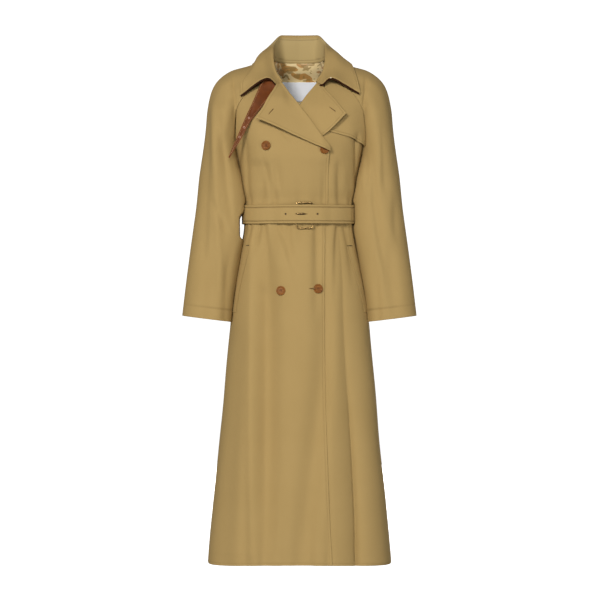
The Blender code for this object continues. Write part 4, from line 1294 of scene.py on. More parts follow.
@dataclass
class Collar:
    """The collar: a stand up the neck, a rolled fold and a leaf with long points, backed with leather."""

    fold_radius: float = 4.0
    sag: float = 11.0       # how far the leaf's front end hangs below the gorge
    stand_seam: float = 62.0        # the seam's height up the stand
    stand_lines: tuple[float, float] = (2.2, 9.0)      # topstitching above the neck seam
    stud: Triple = (77.0, -99.0, -31.5)
    stud_radius: float = 1.9
    peep: float = 4.0       # how far the leather, painted dark as shade, shows beyond the cloth at the front ends
    ribs: int = 84
    leaf_row: int = 34      # the row where the leather begins, below the fold
    base: Table = Table("s x y z", [
        (0, 0, 70.5, 24.5), (.25, 32, 66, 25), (.45, 52, 47, 25.5), (.6, 62.5, 17, 26), (.72, 64.5, -10, 22),
        (.82, 66, -30, 9), (.92, 60, -46, -17), (1, 41, -57, -40)])
    fold: Table = Table("s x y z", [
        (0, 0, 85, 98.5), (.25, 44, 76, 98), (.45, 59, 52, 85), (.6, 67, 20, 66), (.72, 68, -9, 51),
        (.82, 67, -31, 28), (.92, 60, -53, -6), (1, 43, -66, -33)])
    mid: Table = Table("s x y z", [
        (0, 0, 112, 66), (.25, 50, 101, 67), (.45, 79, 66, 63), (.6, 87, 26, 55), (.72, 91, -10, 44),
        (.82, 92, -38, 24), (.92, 85, -64, -7), (1, 81, -89, -29.5)])
    low: Table = Table("s x y z", [
        (0, 0, 121, 30), (.25, 58, 113, 30), (.45, 95, 78, 33), (.6, 103, 28, 36), (.72, 113, -12, 27),
        (.82, 119, -42, 5), (.92, 115, -68, -23), (1, 114, -88, -46)])
    edge: Table = Table("s x y z", [
        (0, 0, 127, -6), (.25, 64, 124, -6), (.45, 109, 90, 3), (.6, 119, 30, 18), (.72, 129, -13, 15),
        (.82, 137, -46, -6), (.92, 145, -70, -38), (1, 150.5, -80, -67.5)])
    right_narrow: float = 0.1       # how much narrower the right leaf lies over its shoulder
    right_tip: Triple = (3.5, -1.0, -5.0)     # how far the right point hangs from the left's mirror

    def line(self, rows: Table, s: Array) -> Array:
        """Read one of the collar's lines at places round it."""
        return np.stack([rows.read(axis, s) for axis in "xyz"], -1)

    def half(self) -> Array:
        """Ribs of the right half: up the stand, round the fold's U-turn and down the leaf, as a smooth curve."""
        end = 1 - np.array(EDGE_LINES[::-1]) / 95.0
        s = np.concatenate([np.linspace(0, end[0], self.ribs // 2), end[1:]])
        base, fold, mid, low, edge = (self.line(rows, s)
                                      for rows in (self.base, self.fold, self.mid, self.low, self.edge))
        away = unit((mid - fold) * np.array([1, 1, 0]))
        radius = (self.fold_radius - 0.8 * ramp(0.8, 1, s))[:, None]
        inner = fold - away * radius - np.array([0, 0, 1]) * radius
        outer = fold + away * radius - np.array([0, 0, 0.6]) * radius
        share = np.concatenate([[0, 1.1, 2.2, 4.4, 6.6, 8.8, 11], np.linspace(16, 54, 6), np.linspace(58, 67, 10)])
        share = share[:, None, None] / 74
        stand = base + (inner - base) * share
        turn = np.linspace(0, 0.75, 5)[:, None, None] * math.pi / 2
        roll = inner + away * radius * (1 - np.cos(turn)) + np.array([0, 0, 1]) * radius * np.sin(turn)
        at = np.concatenate([np.linspace(0, 1, 6), np.linspace(1, 3, 26)[1:],
                             np.linspace(3, 4 - EDGE_LINES[-1] / 38, 10)[1:], 4 - np.array(EDGE_LINES[-2::-1]) / 38])
        leaf = through(np.stack([fold, outer, mid, low, edge]), at)
        sag = self.sag * np.exp(-((leaf[..., 0] - 55) / 10) ** 2) * ramp(0.9, 1.0, s)
        leaf = leaf + sag[..., None] * np.array([0, -0.6, -1.0])
        return np.concatenate([stand, roll[:-1], leaf])

    def grid(self) -> Array:
        """Both halves, from the right front end round the back of the neck to the left, a little uneven."""
        half = self.half()
        other = half[:, :0:-1] * np.array([-1.0, 1.0, 1.0])
        hanging = ramp(40, 0, from_side(other, "l")) * ramp(60, 0, from_side(other, "t"))
        other = other + hanging[..., None] * np.array(self.right_tip)
        leaf = ramp(66, 100, from_side(other, "b")) * ramp(30, 80, from_side(other, "l"))
        other[..., 0] *= 1 - self.right_narrow * leaf
        grid = np.concatenate([other, half], axis=1)
        along = from_side(grid, "l")
        up = from_side(grid, "b")
        leaf = ramp(95, 140, up)
        wave = 0.9 * np.sin(along / 23 + 0.7) * np.sin(up / 29) + 0.6 * np.sin(along / 41 - up / 19)
        seam = 0.9 * np.exp(-((up - self.stand_seam) / 1.1) ** 2) * ramp(0, 30, grid[..., 1])
        return grid + normals(grid) * ((wave * leaf - seam) * ramp(0, 12, near(grid, "lr")))[..., None]

    def make(self) -> None:
        """Build the collar, its leather backing and its rows of stitches."""
        grid = self.grid()
        cut = Cut("collar", grid, turned="lrt", grooved="lrt", held=Held.FOLDED, rests_on=("back",))
        rows = Stitching("topstitch_collar")
        rows.sides(cut, "lrt")
        up = from_side(grid, "b")
        # painted light: the inside of the stand is painted paler than the cloth outside
        cut.painted_light = 0.9 * ramp(70, 62, up) * ramp(0, 40, grid[..., 1])
        for line in self.stand_lines:
            rows.sides(cut, "b", line, 6.0)
        # painted shade along the stand's stitched lines and its seam, with no groove pressed in
        for line in (*self.stand_lines, self.stand_seam):
            cut.shaded_groove = cut.shaded_groove + 0.5 * np.exp(-((up - line) / 0.9) ** 2) * ramp(0, 30, grid[..., 1])
        cut.make()
        rows.make()
        turn, way = np.meshgrid(turns(16), np.linspace(0.02, math.pi - 0.02, 9))
        ball = np.stack([np.sin(way) * np.cos(turn), -np.cos(way), np.sin(way) * np.sin(turn)], -1)
        ball = ball.reshape(-1, 3) * self.stud_radius + np.array(self.stud)
        # the stud's near-white finish paints a glint
        put("collar_stud", ball, quads(9, 16, round_columns=True)[:, ::-1], STUD_GLINT)
        backing = (grid - normals(grid) * (WALL + 0.8))[self.leaf_row:-3]
        ends = [backing[:, :1] + unit(backing[:, :1] - backing[:, 6:7]) * self.peep,
                backing[:, -1:] + unit(backing[:, -1:] - backing[:, -7:-6]) * self.peep]
        backing = np.concatenate([ends[0], backing[:, 3:-3], ends[1]], axis=1)
        # the under-collar's leather is painted dark as shade
        Cut("under_collar", backing, SHADED_LEATHER, wall=1.2, turned="lrt", held=Held.FOLDED,
            rests_on=("collar",)).make()


@dataclass
class Lapels(Part):
    """Both facings turned out as lapels, rolled over the fronts' edges, their points standing off a little."""

    roll: float = 1.9
    right: dict[str, tuple[float, float]] = field(default_factory=lambda: {
        "gorge": (-53.5, -50.0), "point": (-99.5, -135.5), "break": (71.5, -212.0)})
    left: dict[str, tuple[float, float]] = field(default_factory=lambda: {
        "gorge": (56.0, -48.5), "point": (109.0, -121.5), "break": (-38.0, -205.0)})
    right_lift: float = 25.0
    left_lift: float = 16.0
    left_sag: float = 26.0
    button: tuple[float, float] = (59.8, -204.0)
    holes: tuple[Triple, ...] = ((-71.0, -116.0, 53.0), (82.0, -108.5, -40.0))
    hole_length: float = 20.0

    def flat(self, corners: dict[str, tuple[float, float]], edge: Table, hand: int, sink: float,
             ) -> tuple[Array, Array, Array, Array]:
        """The facing's x and z on the chest: lines from its roll line to its gorge, outer edge and point.

        Args:
            corners: The gorge's end, the point and the break, each as (x, z).
            edge: The roll line's x at each height.
            hand: 1 for the wearer's left, -1 for the right.
            sink: How far the lower edge sags between break and point.

        Returns:
            x, z, lift's share and the place across, each of shape (rows, columns).
        """
        last = 1 - np.array(EDGE_LINES[::-1]) / 150
        down = np.concatenate([edged(0, last[0], 44, 120), last[1:]])[:, None]
        top = edge["z"][-1]
        roll_z = top + (corners["break"][1] - top) * down
        roll_x = edge.read("x", roll_z) * -hand
        outer_x = corners["gorge"][0] + (corners["point"][0] - corners["gorge"][0]) * down
        outer_z = corners["gorge"][1] + (corners["point"][1] - corners["gorge"][1]) * down
        length = np.hypot(outer_x - roll_x, outer_z - roll_z)
        across = shares(length, 34, False, True)
        x = roll_x + (outer_x - roll_x) * across
        z = roll_z + (outer_z - roll_z) * across - sink * down ** 3 * 4 * across * (1 - across)
        return x, z, across ** 0.8 * (0.25 * across + 0.75 * down ** 2), across

    def spring(self, across: Array) -> Array:
        """How far the cloth springs up beside the roll line."""
        return 1.6 * np.exp(-(across * 90 / 14) ** 2)

    def rolled(self, x: Array, z: Array, out: Array, hand: int) -> Array:
        """Add the half turn over the front's edge: away by radius * sin, in by radius * (1 - cos)."""
        way = np.stack([np.gradient(x[:, 0]), np.gradient(z[:, 0])], -1)
        away = unit(np.stack([-way[:, 1], way[:, 0]], -1) * -hand)
        away = away * np.sign((away * np.stack([x[:, 0] - x[:, 6], z[:, 0] - z[:, 6]], -1)).sum(-1, keepdims=True))
        turn = np.linspace(math.pi, 0, 8)[None, :-1]
        reach = self.roll * np.sin(turn)
        rolled_x = x[:, :1] + away[:, :1] * reach
        rolled_z = z[:, :1] + away[:, 1:] * reach
        rolled_out = out[:, :1] - self.roll * (1 - np.cos(turn))
        return self.body.chest(np.concatenate([rolled_x, x], 1), np.concatenate([rolled_z, z], 1),
                               np.concatenate([rolled_out, out], 1))

    def make(self) -> None:
        """Build both lapels with their stitches and buttonholes."""
        rows = Stitching("topstitch_lapels")
        x, z, lift, across = self.flat(self.right, self.body.over_edge, -1, 0.0)
        over_button = 7.5 * np.exp(-((x - self.button[0]) ** 2 + (z - self.button[1]) ** 2) / 20 ** 2)
        over_latch = 5 * ramp(-112, -84, z) * ramp(-22, -44, x)
        out = self.body.over(x, z) + LAYER + self.right_lift * lift + over_button + over_latch + self.spring(across)
        right = Cut("lapel_right", self.rolled(x, z, out, -1)[::-1, ::-1], turned="lbt", grooved="lbt",
                    press=0.25, held=Held.FOLDED, rests_on=("front_right",))
        x, z, lift, across = self.flat(self.left, self.body.under_edge, 1, self.left_sag)
        out = LAYER * (1 + ramp(44, 58, x)) + self.left_lift * lift * ramp(50, 86, x) + self.spring(across)
        left = Cut("lapel_left", self.rolled(x, z, out, 1)[::-1], turned="rbt", grooved="rbt",
                   press=0.25, held=Held.FOLDED, rests_on=("front_left",))
        rims, dark = [], []
        for cut, sides, (x, z, slant) in ((right, "lbt", self.holes[0]), (left, "rbt", self.holes[1])):
            rows.sides(cut, sides)
            row, column = divmod(int(np.argmin(np.hypot(cut.grid[..., 0] - x, cut.grid[..., 2] - z))),
                                 cut.grid.shape[1])
            way = np.array([math.cos(math.radians(slant)), 0.0, math.sin(math.radians(slant))])
            spot = cut.spot(row, column, way)
            rims.append(buttonhole(spot, self.hole_length))
            dark.append(slit(spot, self.hole_length - 1.2))
            cut.make()
        rows.make()
        put("lapel_buttonhole_lips", *joined(rims), LIPS)
        put("lapel_buttonhole_slits", *joined(dark), SHADOW)


@dataclass
class StormFlap(Part):
    """The flap over the left chest, its hidden end under the lapel, free along its lower edge."""

    top: float = -14.0
    lower: Table = Table(
        "x z", [(62, -160), (72, -163), (103, -171), (122, -175), (140, -182), (160, -194)])

    def make(self) -> None:
        """Build the flap: columns share out its width, rows its height, its free edge standing off."""
        across = shares(np.full((1, 1), 90.0), 30, False, True)
        first, last = self.lower["x"][[0, -1]]
        low = self.lower.read("z", first + (last - first) * across)
        up = edged(0, 1, 40, 160)[:, None]
        z = low + (self.top - low) * up
        right = self.body.front_seam.read("x", z) - 2.2
        left = np.minimum(first + 0 * z, right - 14)
        x = left + (right - left) * across
        lift = 6.5 * (1 - up) ** 2 * across ** 2 + (1.5 + 1.0 * np.sin(x / 9)) * (1 - up) ** 3
        cut = Cut("storm_flap", self.body.chest(x, z, LAYER + lift), turned="b", grooved="b",
                  rests_on=("front_left",))
        rows = Stitching("topstitch_flap")
        rows.sides(cut, "b", skip=0.0)
        cut.make()
        rows.make()


# ---- latch, belt and trims ----

@dataclass
class ThroatLatch(Part):
    """The leather throat latch, hanging loose from under the collar with three punched holes."""

    thick: float = 2.0
    rows: Table = Table("x y z half", [
        (-74, -75, -33, 14), (-75, -80, -45, 18.5), (-80.5, -85, -57, 18.5), (-91.5, -91, -77, 16),
        (-105, -98, -100, 12.3), (-119, -102, -123, 9.2), (-129, -104, -141, 7.2), (-144, -106, -173, 5.6),
        (-157, -107, -198, 4), (-172, -107, -228, 2.0)])
    holes: tuple[float, ...] = (-129.5, -153.0, -177.0)
    hole_radius: float = 2.0

    def make(self) -> None:
        """Build the strap: its middle line is a smooth curve, its columns spread across the strap's width."""
        at = np.linspace(0, 1, 74)
        key = np.linspace(0, 1, len(self.rows["x"]))
        middle = np.stack([curve(at, key, self.rows[axis]) for axis in "xyz"], -1)
        half = curve(at, key, self.rows["half"])[:, None]
        along = np.gradient(middle, axis=0)
        across = unit(np.stack([-along[:, 2], 0 * along[:, 1], along[:, 0]], -1))
        place = np.array([-1, -0.96, -0.88, -0.75, -0.5, -0.25, 0, 0.25, 0.5, 0.75, 0.88, 0.96, 1])
        middle_column = len(place) // 2
        points = middle[:, None] + across[:, None] * half[:, None] * place[None, :, None]
        x, z = points[..., 0], points[..., 2]
        reach = np.maximum(x, -128)
        slope = np.abs(self.body.outward(z, self.body.angle(z, reach))[..., 1])
        lying = self.body.chest(reach, z)[..., 1] - (self.body.over(x, z) + self.thick + 1.6) / slope
        points[..., 1] = np.minimum(points[..., 1], lying)
        curl = 1.6 * (place ** 2)[None, :] * ramp(0, 0.25, at)[:, None] * ramp(1.05, 0.7, at)[:, None]
        soft = 0.8 * np.sin(at * 21 + 0.6)[:, None] * (1 - 0.5 * place[None, :] ** 2) * ramp(0.02, 0.2, at)[:, None]
        points[..., 1] -= curl + soft
        grid = points[::-1, ::-1] if across[0, 0] < 0 else points[::-1]
        cut = Cut("throat_latch", grid, LEATHER, wall=self.thick, rests_on=("under_collar", "front_right"))
        rows = Stitching("latch_stitching", PALE_THREAD, radius=0.3)
        rows.sides(cut, "lr", 2.6, 5.0)
        outward = normals(cut.grid)
        parts, dark = [], []
        for height in self.holes:
            row = int(np.argmin(np.abs(grid[:, middle_column, 2] - height)))
            line = cut.grid[:, middle_column]
            spot = Spot(line[row], outward[row, middle_column], line[row + 1] - line[row - 1])
            parts.append(eyelet(spot, self.hole_radius, 0.65))
            dark.append(slit(spot, 2 * self.hole_radius, self.hole_radius))
        cut.make()
        rows.make()
        put("latch_hole_rims", *joined(parts), Leather("punched_edge", "leather", "#d3a48c", 0.6, dark="#b08068"))
        put("latch_holes", *joined(dark), SHADOW)


@dataclass
class Belt(Part):
    """The belt with its buckle: once round the waist, through the brass frame, its end tucked behind."""

    width: float = 46.0
    thick: float = 2.4
    clear: float = 3.5
    dip: float = 4.5
    drop: float = 3.2
    frame_size: tuple[float, float] = (42.6, 66.0)
    bar: tuple[float, float] = (3.3, 2.6)
    corner: float = 6.5
    frame_x: float = 12.6
    frame_turn: float = 2.3
    holes: tuple[float, ...] = (-33.5, 45.0)
    hole_radius: float = 2.1
    slot: Triple = (3.5, 27.0, 2.6)     # the prong's slot: its middle's x, length and half width
    prong_x: tuple[float, float] = (-7.9, 19.1)             # the prong's foot and tip
    round_columns: int = 300        # columns of the belt's run round the back, before its closer ones in front
    middle_row: int = 11
    loop_angle: float = 116.0
    loop_half: float = 0.058        # half the loop's width, in radians

    def out(self, turn: Array) -> Array:
        """How far the inner face lies outside the body, in turns round from the front centre."""
        buckle = ramp(0.93, 0.97, turn) * (self.thick + self.bar[1] + 1.8)
        tail = ramp(1.05, 1.085, turn) * (self.bar[1] + 0.9)
        return self.clear + buckle - tail

    def grid(self) -> Array:
        """The belt's outer face: the plain trunk at belt height, moved out, and a little uneven up and down."""
        turn = np.concatenate([[0.02], np.linspace(0.024, 0.925, self.round_columns),
                               np.linspace(0.928, 1.162, 96), [1.1635, 1.1645, 1.165]])
        angle = (turn * 2 * math.pi)[None, :]
        share = np.array([0, 0.45, 1.1, 2.2, 4.4, 5.3, 6.0, 6.7, 9, 13, 18, 23, 28, 33, 37, 39.3, 40, 40.7, 41.6, 43.8,
                          44.9, 45.55, 46.0])[:, None] / self.width - 0.5
        z = self.body.belt + share * self.width + 0 * angle
        base = self.body.point(self.body.belt + 0 * z, angle + 0 * z)
        normal = self.body.outward(self.body.belt + 0 * z, angle + 0 * z)
        normal[..., 2] = 0
        points = base + unit(normal) * (self.out(turn) + self.thick)[None, :, None]
        wave = 0.7 * np.sin(angle * 5.2 + 0.8) + 0.4 * np.sin(angle * 9.7 + 2.2)
        points[..., 2] = z + wave * ramp(0.1, 0.9, np.abs(np.sin(angle / 2))) - self.dip * np.cos(angle / 2) ** 2
        cup = 0.35 * (1 - (2 * share) ** 2) * (0.6 + 0.4 * np.sin(angle * 13))
        return points + unit(normal) * cup[..., None]

    def frame(self) -> Mesh:
        """The buckle's frame: a round-cornered loop of bar, an oval section carried round it."""
        quarter = np.linspace(0, math.pi / 2, 9)
        half_x, half_z = (size / 2 - self.bar[0] / 2 for size in self.frame_size)
        radius = self.corner - self.bar[0] / 2
        way = np.concatenate([quarter + k * math.pi / 2 for k in range(4)])
        centre_x = np.repeat([1, -1, -1, 1], 9) * (half_x - radius)
        centre_z = np.repeat([1, 1, -1, -1], 9) * (half_z - radius)
        path = np.stack([centre_x + radius * np.cos(way), 0 * way, centre_z + radius * np.sin(way)], -1)
        along = unit(np.roll(path, -1, 0) - np.roll(path, 1, 0))
        side = np.cross(along, [0.0, 1.0, 0.0])
        turn = turns(14)
        oval = np.stack([np.sign(np.cos(turn)) * np.abs(np.cos(turn)) ** 0.7 * self.bar[1] / 2,
                         np.sign(np.sin(turn)) * np.abs(np.sin(turn)) ** 0.8 * self.bar[0] / 2], -1)
        grid = (path[:, None] + oval[None, :, :1] * np.array([0, -1.0, 0]) + oval[None, :, 1:] * side[:, None])
        tilt = math.radians(self.frame_turn)
        spun = np.array([[math.cos(tilt), -math.sin(tilt), 0], [math.sin(tilt), math.cos(tilt), 0], [0, 0, 1]])
        front = self.body.point(np.array([self.body.belt]), np.array([0.0]))[0, 1]
        middle_y = front - (self.clear + self.thick + 0.6 + self.bar[1]) + self.bar[1] / 2
        place = np.array([self.frame_x, middle_y, self.body.belt - self.dip - self.drop])
        return grid.reshape(-1, 3) @ spun.T + place, halved(quads(len(path), 14, True, True))

    def prong(self, surface_y: float) -> Mesh:
        """The prong: a tapering bar from the frame's side over the belt into its hole."""
        share = np.linspace(0, 1, 14)
        foot, tip = self.prong_x
        path = np.stack([foot + (tip - foot) * share, surface_y - 1.2 - 1.5 * np.sin(share * math.pi) ** 0.7,
                         0 * share + self.body.belt - self.dip], -1)
        vertices, faces = tube(path, np.array([0, -1.0, 0]), 1.0, 10, closed=False)
        taper = np.concatenate([np.repeat(1.25 - 0.55 * share, 10), [1.0, 1.0]])[:, None]
        centre = np.concatenate([np.repeat(path, 10, axis=0), path[:1], path[-1:]])
        return centre + (vertices - centre) * taper, faces

    def make(self) -> None:
        """Build the belt with its stitches and holes, and its buckle."""
        grid = self.grid()
        cut = Cut("belt", grid, wall=self.thick, grooved="bt", press=1.0, held=Held.LAID,
                  rests_on=("front_right", "back", "belt_loop_left", "belt_loop_right"))
        rows = Stitching("topstitch_belt")
        rows.sides(cut, "bt", STITCH_AT, 3.0)
        rims, dark = [], []
        in_front = grid[self.middle_row, self.round_columns:]
        for x in self.holes:
            column = self.round_columns + int(np.argmin(np.abs(in_front[:, 0] - x)))
            spot = cut.spot(self.middle_row, column, np.array([1.0, 0, 0]))
            rims.append(eyelet(spot, self.hole_radius, 0.55))
            dark.append(slit(spot, 2 * self.hole_radius - 0.4, self.hole_radius - 0.2))
        surface = float(in_front[np.argmin(np.abs(in_front[:, 0])), 1])
        cut.make()
        rows.make()
        put("belt_hole_rims", *joined(rims), Thread("hole_thread", "gabardine", "#7c6238", 0.7, dark="#58431f"))
        x, length, half = self.slot
        slot = Spot(np.array([x, surface, self.body.belt - self.dip]), np.array([0, -1.0, 0]), np.array([1.0, 0, 0]))
        dark.append(slit(slot, length, half))
        put("belt_holes", *joined(dark), SHADOW)
        put("buckle_frame_cast", *self.frame(), BRASS, ("buckle_frame",))
        put("buckle_prong_cast", *self.prong(surface), BRASS, ("buckle_prong",))
        self.loops()

    def loops(self) -> None:
        """Belt loops that stand over the belt behind both side seams."""
        shift = np.array([-30, -29.3, -28, -27.2, -26, -25, -23, -12, 0, 12, 23, 25, 26, 27.2, 28, 29.3, 30.0])
        out = np.interp(np.abs(shift), [0, 23, 25, 26, 27.2, 28, 30],
                        [self.clear + self.thick + 1.9] * 2 + [self.clear + self.thick + 1.4, 6.0, 4.2, 3.2, 2.6])
        rows = Stitching("topstitch_loops", radius=0.3)
        for name, side in (("belt_loop_left", 1), ("belt_loop_right", -1)):
            across = np.array([-1, -0.9, -0.72, -0.4, 0, 0.4, 0.72, 0.9, 1])[None, :]
            angle = math.radians(self.loop_angle) * side + across * self.loop_half
            z = self.body.belt + shift[:, None] + 0 * angle
            angle = angle + 0 * z
            points = self.body.point(z, angle) + self.body.outward(self.body.belt + 0 * z, angle) * out[:, None, None]
            cut = Cut(name, points, wall=1.3, held=Held.LAID, rests_on=("belt", "back"))
            rows.sides(cut, "lr", 2.2, 2.0)
            cut.make()
        rows.make()


@dataclass
class PocketWelts(Part):
    """Slanted welts over the pockets near the side seams, stitched all round."""

    top: float = -441.0
    length: float = 165.0
    angle_top: float = 58.0
    slant: float = 13.0
    half: float = 5.2

    def make(self) -> None:
        """Build both welts: rows run down the skirt, columns round it."""
        down = np.concatenate([np.array(EDGE_LINES[:7]) / self.length, np.linspace(0.06, 0.94, 30),
                               1 - np.array(EDGE_LINES[6::-1]) / self.length])[:, None]
        across = np.array([-1, -0.96, -0.9, -0.8, -0.62, -0.5, -0.38, -0.15, 0.15, 0.38, 0.5, 0.62, 0.8, 0.9, 0.96,
                           1])[None, :]
        rows = Stitching("topstitch_welts")
        bars = []
        for name, side in (("pocket_welt_left", 1), ("pocket_welt_right", -1)):
            z = self.top - self.length * down + 0 * across
            angle = side * np.radians(self.angle_top + self.slant * down) + math.radians(self.half) * across
            cut = Cut(name, self.body.skin(z, angle, 1.7)[::-1], wall=1.2, grooved="lr",
                      groove_at=3.0, held=Held.LAID, rests_on=("front_left" if side > 0 else "front_right",))
            rows.sides(cut, "lrbt", 3.0, 3.0)
            mouth = cut.grid[-1, -1] - cut.grid[-1, 0]
            middle = (cut.grid[-1, -1] + cut.grid[-1, 0]) / 2 + cut.outward[-1, 8] * 0.6
            bars.append(slit(Spot(middle, cut.outward[-1, 8], mouth), float(np.linalg.norm(mouth)) - 1, 0.9))
            cut.make()
        rows.make()
        put("welt_mouths", *joined(bars), SHADOW)


@dataclass
class Buttons(Part):
    """Four turned horn buttons, a raised rim round four holes, each sewn on with crossed thread."""

    profile: Table = Table("radius out", [      # outside the even middle
        (5.4, 2.45), (6.4, 2.4), (7.2, 2.5), (7.9, 3), (8.6, 3.7), (9.4, 4.15), (10.1, 4.2), (10.7, 4), (11.15, 3.6),
        (11.42, 3), (11.5, 2.2), (11.4, 1.4), (11, 0.7), (10.2, 0.2), (8, 0), (4, 0), (0.05, 0)])
    places: dict[str, tuple[float, float]] = field(default_factory=lambda: {
        "button_chest_right": (-79.5, -198.0), "button_chest_left": (59.8, -207.5),
        "button_skirt_right": (-45.5, -552.0), "button_skirt_left": (46.8, -547.0)})
    hole: float = 0.6
    hole_at: float = 2.2
    well: tuple[float, float, int] = (4.4, 2.5, 15)     # the even middle's radius, height and rings

    def corners(self) -> list[tuple[float, float]]:
        """Where the four holes are, as (along, across)."""
        at = self.hole_at / math.sqrt(2)
        return [(at, at), (at, -at), (-at, at), (-at, -at)]

    def face(self) -> Mesh:
        """A turned disc: height is a smooth curve of radius, less a round dip at each hole.

        Returns:
            The disc's points as (along, across, out), and its faces.
        """
        radius, height, rings = self.well
        radii = np.concatenate([np.linspace(0.05, radius, rings), self.profile["radius"]])
        out = np.concatenate([np.full(rings, height), self.profile["out"]])
        turn = turns(64)
        flat = np.stack([radii[:, None] * np.cos(turn), radii[:, None] * np.sin(turn), out[:, None] + 0 * turn], -1)
        for x, y in self.corners():
            gap = np.hypot(flat[:rings, :, 0] - x, flat[:rings, :, 1] - y)
            flat[:rings, :, 2] -= 1.7 * ramp(self.hole + 0.35, self.hole - 0.35, gap)
        return flat, halved(quads(len(radii), 64, round_columns=True))[:, ::-1]

    def make(self) -> None:
        """Build each button on its front, its dark holes and its thread."""
        flat, faces = self.face()
        holes, thread = [], []
        for k, (name, (x, z)) in enumerate(self.places.items()):
            out = float(self.body.over(np.array(x), np.array(z))) + 0.4
            spot = self.body.spot(x, z, out, slant=12.0 + 31.0 * k)
            put(name, spot.lay(flat).reshape(-1, 3), faces, HORN, (name,))
            for x, y in self.corners():
                # a dark disc in each hole, in the thread's colour, as painted shade of the hole
                middle = Spot(spot.lay(np.array([x, y, 1.0])), spot.outward, spot.along)
                holes.append(slit(middle, 2 * self.hole, self.hole))
            at = self.corners()[0][0]
            share = np.linspace(-1, 1, 9)
            for y in (-at, at):
                path = np.stack([at * share * 1.05, y + 0 * share, 1.6 + 1.35 * (1 - share ** 4)], -1)
                thread.append(tube(spot.lay(path), spot.outward, 0.42, 6, closed=False))
        put("button_holes", *joined(holes), DARK_THREAD)
        put("button_thread", *joined(thread), DARK_THREAD)


@dataclass
class Buttonholes(Part):
    """The one bound buttonhole that shows on the right front, near its edge."""

    at: tuple[float, float] = (30.5, -547.0)
    length: float = 14.0

    def make(self) -> None:
        """Lay the buttonhole on the right front."""
        spot = self.body.spot(*self.at, LAYER + 0.5)
        put("buttonhole_lips", *buttonhole(spot, self.length), LIPS)
        put("buttonhole_slit", *slit(spot, self.length - 1.2), SHADOW)


@dataclass
class Inside(Part):
    """What the open neck shows of the inside: the printed lining and the bare woven label."""

    collar: Collar = field(default_factory=Collar)
    lining_z: tuple[float, float] = (-150.0, 26.0)
    lining_reach: float = 1.05      # its reach to either side, in radians
    label_z: tuple[float, float] = (-67.0, -18.5)
    label_reach: float = 0.29

    def make(self) -> None:
        """Build the lining inside the upper back, a little slack, and the label stitched on it."""
        z = np.linspace(*self.lining_z, 52)[:, None]
        reach = self.lining_reach * (0.9 + 0.1 * ramp(30, -60, z))
        angle = math.pi + np.linspace(-1, 1, 90)[None, :] * reach
        z, angle = np.broadcast_arrays(z, angle)
        slack = 0.9 * np.sin(angle * 21 + z / 37) * np.sin(z / 19) + 0.9
        inner = self.body.skin(z, angle, -(WALL + 0.8 + slack * 0.8))
        neck = self.collar.base
        rise = ramp(-18, 25, z)
        inner[..., 0] *= 1 - 0.17 * rise
        seam = curve(np.abs(inner[..., 0]), neck["x"][:4], neck["y"][:4]) + 0.3
        inner[..., 1] += (np.minimum(seam, inner[..., 1]) - inner[..., 1]) * rise
        Cut("lining", inner, LINING, wall=1.2, rests_on=("back",)).make()
        z = np.linspace(*self.label_z, 22)[:, None]
        angle = math.pi + np.linspace(-self.label_reach, self.label_reach, 40)[None, :]
        z, angle = np.broadcast_arrays(z, angle)
        points = self.body.point(z, angle) - self.body.outward(z, angle) * (WALL + 1.2 + 3.6)
        label = Cut("label", points, TAPE, wall=0.8, held=Held.LAID, rests_on=("lining",))
        rows = Stitching("label_stitching", WHITE_THREAD, length=2.2, radius=0.25)
        rows.sides(label, "lrbt", 1.6, 2.0)
        label.make()
        rows.make()


# ---- studio ----

@dataclass(frozen=True)
class Lamp:
    """A square area light that faces the coat's middle: its place and side in metres, its power in watts."""

    name: str
    at: Triple
    size: float
    power: float
    colour: str = "#fffaf4"
    aim_z: float = -0.55

    def make(self) -> None:
        """Add it to the scene, turned from straight down towards the coat."""
        data = bpy.data.lights.new(self.name, "AREA")
        data.shape = "SQUARE"
        data.size = self.size
        data.energy = self.power
        data.color = linear(self.colour)[:3]
        made = bpy.data.objects.new(self.name, data)
        made.location = self.at
        aim = np.array([0, 0, self.aim_z]) - np.array(self.at)
        made.rotation_euler = (math.acos(-aim[2] / np.linalg.norm(aim)), 0, math.atan2(-aim[0], aim[1]))
        bpy.context.scene.collection.objects.link(made)


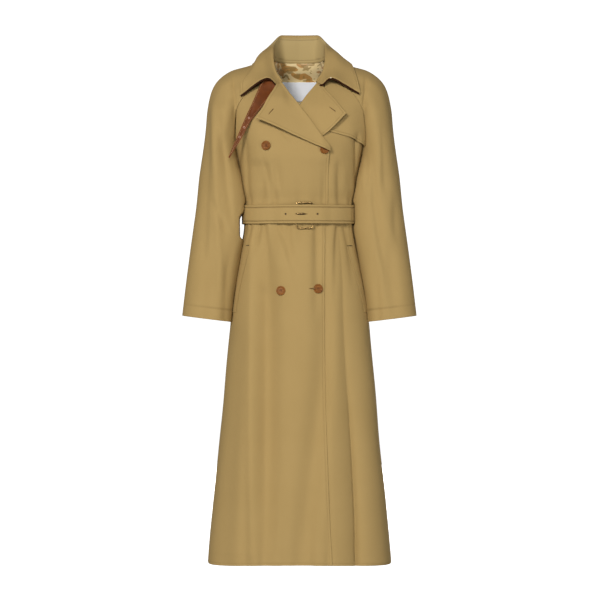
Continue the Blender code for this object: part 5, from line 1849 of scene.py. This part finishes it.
@dataclass
class Studio:
    """A white sweep of floor and wall, broad soft lights and a long-lens camera, level with the coat's middle."""

    camera_at: Triple = (0.0015, -4.5, -0.575)
    lens: float = 108.0
    floor_z: float = -1.40
    wall: float = 9.0       # the wall's distance and height
    bend: float = 2.0
    sides: int = 96
    glow: float = 0.85
    air: float = 0.16
    lamps: tuple[Lamp, ...] = (
        Lamp("key", (-2.2, -6.0, 1.85), 1.3, 272), Lamp("front", (0.1, -5.2, 0.75), 0.9, 70, "#fffcf8"),
        Lamp("behind", (0.8, 4.4, -0.45), 2.0, 105), Lamp("side_left", (-2.7, -2.2, -1.15), 1.5, 24, "#ffffff"),
        Lamp("side_right", (2.7, -2.4, -1.15), 1.5, 35, "#ffffff"))

    def bowl(self) -> None:
        """The backdrop: a round floor that turns up into a wall, so that every side is white.

        It is seen, but lights nothing: the air and the lamps do.
        """
        turn = np.linspace(0, math.pi / 2, 12)[1:]
        flat = self.wall - self.bend
        radius = np.concatenate([[0.0005, 2.0, flat], flat + self.bend * np.sin(turn), [self.wall]])
        z = np.concatenate([[0, 0, 0], self.bend - self.bend * np.cos(turn), [self.wall]]) + self.floor_z
        way = turns(self.sides)
        grid = np.stack([radius[:, None] * np.cos(way), radius[:, None] * np.sin(way), z[:, None] + 0 * way], -1)
        mesh = bpy.data.meshes.new("studio_bowl")
        faces = [*quads(len(z), self.sides, round_columns=True).tolist(), list(range(self.sides))]
        mesh.from_pydata(grid.reshape(-1, 3).tolist(), [], faces)
        mesh.polygons.foreach_set("use_smooth", np.ones(len(mesh.polygons), bool))
        material = bpy.data.materials.new("studio_white")
        material.use_nodes = True
        feed(material.node_tree.nodes["Principled BSDF"], {
            "Base Color": linear("#f4f4f4"), "Roughness": 0.9, "Emission Color": (1, 1, 1, 1),
            "Emission Strength": self.glow})
        mesh.materials.append(material)
        made = bpy.data.objects.new("studio_bowl", mesh)
        made.visible_diffuse = False
        made.visible_glossy = False
        made.visible_shadow = False
        bpy.context.scene.collection.objects.link(made)

    def make(self) -> None:
        """Set up the backdrop, the lights, the world and the camera."""
        self.bowl()
        for lamp in self.lamps:
            lamp.make()
        world = bpy.data.worlds.new("studio_air")
        bpy.context.scene.world = world
        world.use_nodes = True
        feed(world.node_tree.nodes["Background"], {"Color": (1, 1, 1, 1), "Strength": self.air})
        bpy.context.scene.view_settings.view_transform = "Standard"
        data = bpy.data.cameras.new("photographer")
        data.lens = self.lens
        data.sensor_width = 36.0
        camera = bpy.data.objects.new("photographer", data)
        camera.location = self.camera_at
        camera.rotation_euler = (math.pi / 2, 0, 0)
        bpy.context.scene.collection.objects.link(camera)
        bpy.context.scene.camera = camera


def main() -> None:
    """Build every piece of the coat, then the studio."""
    logging.basicConfig(level=logging.INFO, format="%(name)s: %(message)s")
    for part in (Trunk(), Sleeves(), Collar(), Lapels(), StormFlap(), ThroatLatch(), Belt(), PocketWelts(), Buttons(),
                 Buttonholes(), Inside(), Studio()):
        LOG.info("making %s", type(part).__name__)
        part.make()
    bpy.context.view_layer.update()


if __name__ == "__main__":
    main()
